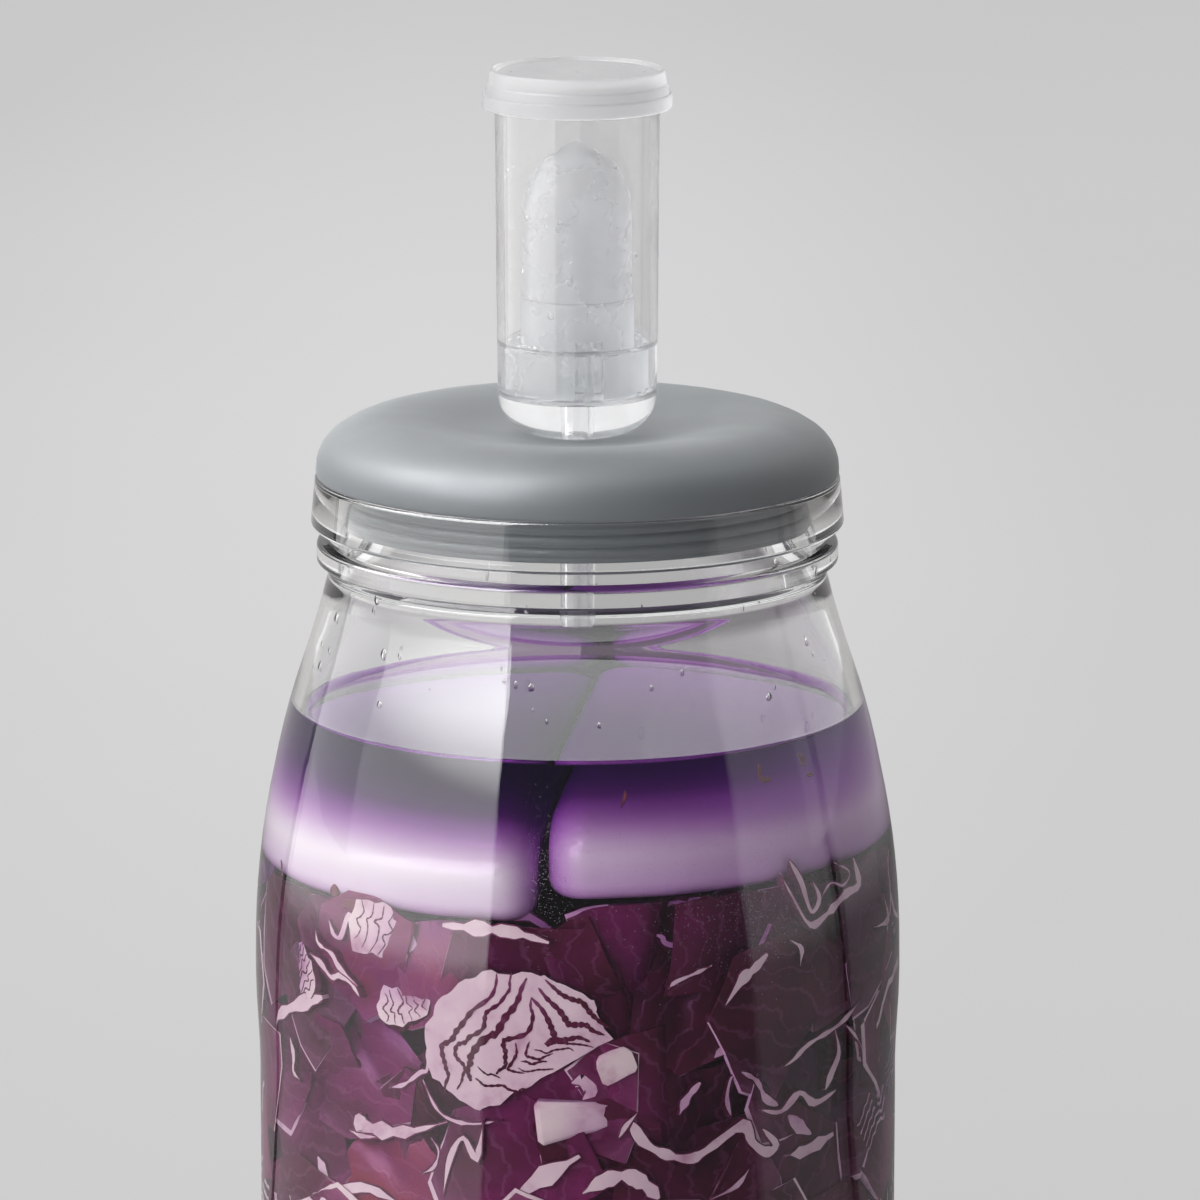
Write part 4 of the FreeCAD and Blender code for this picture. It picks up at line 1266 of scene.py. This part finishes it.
EDGE_LEAVES = [
    # width at the start and at the end, depth, tone, then places along the cut edge
    # The listed tones are partly the leaves' own colour and partly painted light: lighter on the left,
    # towards the lamp, and darker on the right.
    (3.4, 2.2, 0, 0.5, (-25, 128.5), (-17, 128.5), (-11, 128), (-5, 126)),
    (1.6, 1.4, 0, 0.6, (-56.5, 115.5), (-53, 114), (-50, 111.5), (-47.5, 112.5), (-44.5, 111),
     (-42.5, 108.5)),
    (1, 1.6, 0, 0.6, (-55, 121.5), (-54, 118.5), (-50, 117), (-48, 114.5), (-43, 111)),
    (1.6, 1.6, 0, 0.7, (-25, 64), (-23.5, 73.5), (-21, 78.5), (-18.5, 74), (-17, 83.5)),
    (4.6, 1.2, 0, 0.6, (-44, 80), (-42, 77.5), (-33, 78), (-24, 82)),
    (1.8, 1, 0, 0.9, (-46, 75.5), (-42, 75), (-37.5, 76)),
    (1.3, 1, 1, 0.6, (-29, 91.5), (-26.5, 85), (-23.5, 82.5), (-19, 82), (-13.5, 83.5)),
    (2.6, 4.4, 0, 0.5, (-13, 62.5), (-7.5, 69), (0.5, 75.5)),
    (1.3, 1.3, 1, 0.6, (-36.5, 88), (-33, 89.5), (-29.5, 93), (-28, 94), (-28, 98.5)),
    (2.8, 1.4, 0, 0.4, (-64, 93), (-63, 89), (-63.5, 85), (-61, 83.5)),
    (1.6, 1.6, 1, 0.5, (-51.5, 124.5), (-50, 121.5), (-48, 121.5), (-46.5, 126.5), (-45, 127)),
    (0.9, 4.4, 0, 0.5, (-70.5, 92.5), (-68.5, 97), (-59.5, 102.5), (-52.5, 106)),
    (2.8, 2, 1, 0.5, (-55.5, 66.5), (-54, 64), (-51.5, 61)),
    (1.2, 1, 1, 0.5, (-27.5, 77.5), (-26, 74.5), (-27, 70.5), (-29.5, 68.5)),
    (2, 2.8, 0, 0.5, (-68, 51), (-54, 57), (-43, 62.5), (-35, 61)),
    (1.8, 1.8, 7, 0.5, (6, 132), (9, 133), (12.5, 131.5), (19, 133.5), (22.5, 132.5), (23.5, 134),
     (27, 134)),
    (1.3, 1.3, 4, 0.5, (-1, 126.5), (3, 126), (6.5, 123), (10.5, 124)),
    (1.6, 1.2, 5, 0.5, (12.5, 123.5), (13, 126.5), (16, 126), (17.5, 124), (25, 122.5)),
    (2.8, 2, 0, 0.5, (36.5, 120), (33.5, 117), (31, 115), (27.5, 109.5)),
    (1.6, 2.2, 0, 0.4, (40.5, 138), (43, 132), (47, 124.5), (52, 126), (58, 129), (63, 130), (62, 136.5)),
    (1.8, 1.4, 0, 0.4, (43, 140.5), (45.5, 135), (47.5, 127.5), (50, 130), (48.5, 134.5)),
    (1, 1, 1, 0.4, (50.5, 129.5), (54, 132.5), (58, 131), (60.5, 133.5), (55.5, 137)),
    (1.8, 1.2, 0, 0.3, (42, 122), (44.5, 119.5), (44, 115.5)),
    (1.2, 1.6, 0, 0.3, (39.5, 92), (42.5, 93.5), (46.5, 96.5), (55, 99), (62.5, 103)),
    (1.5, 4.2, 0, 0.3, (53.5, 98), (55, 92), (53, 87.5), (51.5, 84)),
    (1.3, 0.8, 0, 0.3, (56, 99), (60, 95), (63, 91), (64, 87)),
    (2.2, 2.4, 0, 0.4, (7.5, 79.5), (9.5, 83), (12, 78.5), (15.5, 75.5), (20.5, 73.5), (24, 75), (31.5, 80),
     (33.5, 75.5), (36.5, 72.5), (39, 73.5), (36, 78)),
    (3, 3.6, 0, 0.5, (1, 66.5), (5, 69.5), (9, 70.5), (12.5, 68), (15, 64.5)),
    (1.4, 1.4, 2, 0.4, (29.5, 82), (28.5, 86.5), (29, 91), (30, 92.5)),
    (1.4, 2.6, 1, 0.3, (31, 93), (34.5, 90), (36.5, 85.5), (39.5, 83)),
    (1.6, 2, 0, 0.3, (35, 83), (40, 81.5), (44.5, 85), (48.5, 81.5), (55, 83)),
    (3, 3.6, 1, 0.3, (42, 80), (45, 76.5), (48, 74)),
    (1, 4.4, 0, 0.3, (41, 70.5), (46, 70.5), (54, 72.5)),
    (1.6, 2.8, 2, 0.4, (19, 84), (20.5, 88), (23, 91.5)),
    (3.4, 1.6, 1, 0.6, (-1, 93), (1, 93.5), (2.5, 91), (1, 89)),
    (1.2, 1.2, 1, 0.5, (16.5, 114.5), (18, 116), (21.5, 117.5), (25, 119)),
    (2.2, 3.2, 2, 0.4, (25, 97), (28.5, 99), (32.5, 98.5)),
    (1.6, 2, 0, 0.3, (74, 124.5), (76, 118), (69.5, 118)),
    (1.6, 1.2, 1, 0.3, (25, 63), (30.5, 65.5), (34, 70.5)),
]
CHUNKS = [
    # chunk, angle, height, depth, spin, lean, swing, tone
    (0, 0, 84.5, 3.6, 6, 6, 0, 0.6),
    (1, 6.8, 98, 4.6, 110, 0, 80, 0.6),
]
SLICES = [
    # which slice, angle, height, depth, spin, lean, swing, mirrored
    ("heart", -11.2, 103, 0.3, 0, 0, 0, False),
    ("small", -38.5, 124, 0.9, -20, 0, 12, False),
    ("tiny", -33, 109, 0.8, 160, 24, 8, True),
    ("tiny", -59.5, 110, 1.6, 40, 10, 20, True),
]


def make_cabbage():
    skin, cut, rib = leaf_skin(), cut_flesh(), rib_flesh()
    kinds = leaf_kinds(((skin, cut), (rib, cut)))
    flats, chunks = kinds[0], kinds[3]
    rng = random.Random(41)
    leaves = heap_leaves(kinds, rng)
    for number, *place, mirrored in FACE_LEAVES:
        leaves.append(press_in(flats[number], *place, flip=mirrored, nearest=1.4))
    for number, *place in CHUNKS:
        leaves.append(press_in(chunks[number], *place))
    for start, end, depth, tone, *places in EDGE_LEAVES:
        standing, middle = edge_leaf("standing_edge", rng, (skin, cut), places, start, end)
        leaves.append(press_in(standing, middle.x, middle.y, depth, tone=tone, nearest=0.12))
        discard(standing)
    patterns = {
        "heart": sliced_head("heart_slice", rng, (skin, cut), HEART_KNIVES, HEART_SEAMS),
        "small": sliced_head("small_slice", rng, (skin, cut), SMALL_KNIVES, SMALL_SEAMS, 4.0, 0.66, 0.55),
        "tiny": sliced_head("tiny_slice", rng, (skin, cut), SMALL_KNIVES, SMALL_SEAMS, 3.0, 0.5, 0.5),
    }
    slices = [press_in(patterns[name], *place, tone=0.3, flip=mirrored, nearest=0.12)
              for name, *place, mirrored in SLICES]
    for number in range(5):
        slices.append(press_in(rng.choice(list(patterns.values())), 95 + 42 * number,
                               rng.uniform(40, 112), 1.2, spin=rng.uniform(0, 360),
                               lean=rng.uniform(-12, 12), swing=rng.uniform(-12, 12),
                               tone=rng.random(), flip=number % 2))
    discard(*(piece for kind in kinds for piece in kind), *patterns.values())
    sides = {"front": [], "right": [], "back": [], "left": []}
    for leaf in leaves:
        middle = sum((Vector(corner) for corner in leaf.bound_box), Vector()) / 8
        if abs(middle.y) > abs(middle.x):
            sides["front" if middle.y < 0 else "back"].append(leaf)
        else:
            sides["right" if middle.x > 0 else "left"].append(leaf)
    for side, pieces in sides.items():
        fit_in(joined(pieces, f"cabbage_leaves_{side}"), None, "red_cabbage")
    fit_in(joined(slices, "cabbage_slices"), None, "red_cabbage")
    make_core(rng)


def make_core(rng):
    """The dark middle of the heap, behind the leaves that show."""
    low = outline(inner_side(13.0))
    roof = min(STONE_FOOT.values()) - 3
    side = [point for point in low if point.y < roof]
    core = turned("cabbage_core", [*side, (side[-1].x, roof), (0.0, roof)], steps=120)
    lumps = Waves(rng, 3.0, 17)
    for vertex in core.data.vertices:
        x, y, z = vertex.co / MM
        out = math.hypot(x, y)
        if out > 1:
            around = math.atan2(y, x) * 60
            push = 1 + lumps.rise(around, z, 1) / out
            vertex.co.x *= push
            vertex.co.y *= push
        vertex.co.z += lumps.rise(x, y, 0.3) * MM * (0.5 if z > roof - 1 else 0)
    fit_in(core, cabbage_dark(), "red_cabbage", "cabbage")


# ------------------------------------------------------------ small bits

def make_glass_dew():
    """Droplets on the inside of the neck, over the brine."""
    rng = random.Random(5)
    pattern = drop_pattern("dew")
    drops = []
    for number in range(64):
        height = rng.uniform(BRINE_LEVEL + 6, MOUTH - 14)
        width = rng.choice((0.25, 0.35, 0.5, 0.8))
        drops.append(set_round(pattern, rng.uniform(-180, 180), height, inside_radius(height) - 0.02,
                               width, width * rng.uniform(1.1, 2.4), 0.4 * width))
    discard(pattern)
    fit_in(joined(drops, "glass_dew"), water(), "water")


def make_bubbles():
    """Fine bubbles in the brine, thickest under the right stone and in the gap."""
    rng = random.Random(9)
    deselect()
    bpy.ops.mesh.primitive_ico_sphere_add(subdivisions=1, radius=MM)
    pattern = named("bubble")
    bubbles = []
    swarms = ((620, 34, 13, 132, 9), (420, -6, 2.4, 141, 8), (320, 15, 14, 144, 6),
              (340, -22, 22, 141, 8), (300, 150, 60, 138, 12))
    for count, angle, spread, height, rise in swarms:
        for number in range(count):
            level = min(rng.gauss(height, rise), BRINE_LEVEL - 2)
            width = rng.uniform(0.05, 0.11)
            bubbles.append(set_round(pattern, rng.gauss(angle, spread), level,
                                     inside_at(level) - 0.25 - rng.random() * 0.25, width, width, width))
    discard(pattern)
    fit_in(joined(bubbles, "brine_bubbles"), bubble_white(), "water")


def make_bits():
    """A spice berry by the left stone, and red threads on the glass."""
    rng = random.Random(3)
    red = dull_red()
    pattern = drop_pattern("berry", 16, 10)
    bits = [set_round(pattern, -50.6, 131.6, inside_at(131.6) - 1.7, 1.55, 1.6, 1.2)]
    discard(pattern)
    threads = [
        ((-47.5, 130.2), (-45.5, 130.6), (-43.5, 130.2)),
        ((-70.5, 133.5), (-69.8, 131.4), (-69, 130.4)),
        ((39, 163.2), (38.4, 161.4), (39.6, 159.8), (41.4, 159.4)),
        ((49.6, 163.4), (50.4, 161.4), (50, 160.4)),
        ((9.4, 160.2), (9.8, 158.6)),
        ((51, 158.2), (52.8, 158.4)),
    ]
    for places in threads:
        thread, middle = edge_leaf("thread", rng, (red, red), places, 0.45, 0.3, reach=0.7)
        bits.append(press_in(thread, middle.x, middle.y, 0.0, nearest=0.15))
        discard(thread)
    bits[0].data.materials.append(red)
    fit_in(joined(bits, "sunk_bits"), red, "red_cabbage")


# ------------------------------------------------------------ studio

# What the glass mirrors round the room, in levels from an angle on: a lit side to
# the left, a weaker one to the right, and a dark room before the jar. The near
# floor is LOW, the far floor and the low sky FAR, and the rest of the sky HIGH.
MIRRORED_LOW = ((-180, 0.4), (-129, 0.03), (-125.5, 0.52), (-31, 0.015), (61, 0.17), (102, 0.02), (106, 0.2))
MIRRORED_FAR = ((-180, 0.6), (-129, 0.15), (-125.5, 1.8), (-31, 0.03), (61, 0.5), (102, 0.08), (106, 0.5))
MIRRORED_HIGH = ((-180, 2.0), (-129, 0.3), (-125.5, 17.0), (-31, 0.03), (61, 0.9), (102, 0.15), (106, 0.9))
FRONT_GLOW = 0.14  # what clear parts pass on from the room before the jar
THROUGH_GLASS = 0.5  # how much brighter the background is behind clear walls, for what they hold back
BEHIND = 96  # farther round than this from the front, clear parts show the background
BACKDROP = 0.64
FLOOR_GLOW = 0.8  # how much of the floor's look is its own level, and not the lamps' light on it


def make_floor():
    deselect()
    bpy.ops.mesh.primitive_circle_add(vertices=96, radius=7.0, fill_type="NGON")
    floor = named("floor")
    f = Finish("pale_floor")
    # A soft pool of light is painted on the floor behind the jar.
    pool = f.add("ShaderNodeMapping", Vector=f.place, Location=(0.2, -0.95, 0.0), Scale=(3.3, 0.68, 0.0))
    far = f.vector_maths("LENGTH", pool.outputs[0])
    painted_pool = f.ramp(far, (0.0, (0.74, 0.735, 0.745)), (0.45, (0.705, 0.7, 0.71)),
                    (0.9, (0.64, 0.635, 0.64)))
    tone = f.mix(0.12, painted_pool, f.cloud(1.5, 3, (0.3, 0.58), (0.7, 0.7)))
    paint = f.add("ShaderNodeBsdfDiffuse", Color=tone).outputs[0]
    seen, mirrored, gain, front_glow = f.ray_kinds(f.place)
    glow = f.add("ShaderNodeEmission", Color=tone, Strength=gain).outputs[0]
    lit = f.shaders(f.maths("MULTIPLY", seen, FLOOR_GLOW), paint, glow)
    farther = f.level(f.vector_maths("LENGTH", f.place), 0.7, 1.05)
    windows = f.mix(farther, f.sectors(f.place, *MIRRORED_LOW), f.sectors(f.place, *MIRRORED_FAR))
    image = f.add("ShaderNodeEmission", Color=(1, 0.98, 0.97, 1),
                  Strength=f.maths("ADD", windows, front_glow)).outputs[0]
    floor.data.materials.append(f.surface(f.shaders(mirrored, lit, image)))


def add_panel(name, place, target, width, height, radiance):
    """A soft light panel that shines as brightly as its radiance says."""
    lamp = bpy.data.lights.new(name, "AREA")
    lamp.shape = "RECTANGLE"
    lamp.size = width
    lamp.size_y = height
    lamp.energy = radiance * math.pi * width * height
    panel = added(name, lamp)
    panel.location = place
    panel.rotation_euler = (Vector(target) - Vector(place)).to_track_quat("-Z", "Y").to_euler()
    panel.visible_glossy = False
    panel.visible_transmission = False


def make_studio():
    make_floor()
    world = bpy.data.worlds.new("studio")
    bpy.context.scene.world = world
    world.use_nodes = True
    sky = Nodes(world.node_tree)
    way = sky.add("ShaderNodeTexCoord").outputs["Generated"]
    brightest = (-0.68, 0.7, 0.22)
    lit = sky.level(sky.vector_maths("DOT_PRODUCT", way, brightest), -0.35, 0.8, 0.02, 0.95)
    seen, mirrored, gain, front_glow = sky.ray_kinds(way)
    upward = sky.add("ShaderNodeSeparateXYZ", Vector=way).outputs["Z"]
    higher = sky.level(upward, 0.2, 0.65)
    windows = sky.mix(higher, sky.sectors(way, *MIRRORED_FAR), sky.sectors(way, *MIRRORED_HIGH))
    level = sky.mix(mirrored, lit, sky.maths("ADD", windows, front_glow))
    level = sky.mix(seen, level, sky.maths("MULTIPLY", gain, BACKDROP))
    light = sky.add("ShaderNodeBackground", Color=(1, 1, 1, 1), Strength=level)
    out = sky.add("ShaderNodeOutputWorld")
    sky.put(out, "Surface", light.outputs[0])
    add_panel("window_left", (-1.2, -1.4, 0.65), (0, -0.1, 0.15), 2.4, 1.2, 3.2)
    add_panel("ceiling", (0.35, 1.0, 2.0), (0, 0, 0.3), 1.6, 1.4, 2.2)


def make_camera():
    lens = bpy.data.cameras.new("camera")
    lens.lens = 240.0
    lens.sensor_width = 36.0
    lens.clip_end = 50.0
    camera = added("camera", lens)
    camera.location = (0.00533, -1.853, 0.5806)
    camera.rotation_euler = (math.radians(78.13), 0, 0)
    bpy.context.scene.camera = camera


def set_scene():
    scene = bpy.context.scene
    scene.view_settings.view_transform = "Standard"
    scene.cycles.max_bounces = 20
    scene.cycles.transmission_bounces = 20
    scene.cycles.transparent_max_bounces = 32
    scene.cycles.glossy_bounces = 4
    scene.cycles.diffuse_bounces = 2


make_camera()
make_studio()
set_scene()
make_jar()
make_lid()
make_airlock_body()
make_float()
make_cap()
make_airlock_water()
make_airlock_dew()
make_brine()
make_cabbage()
make_glass_dew()
make_bubbles()
make_bits()

make_stone("stone_left", 0.3)
make_stone("stone_right", 0.7)
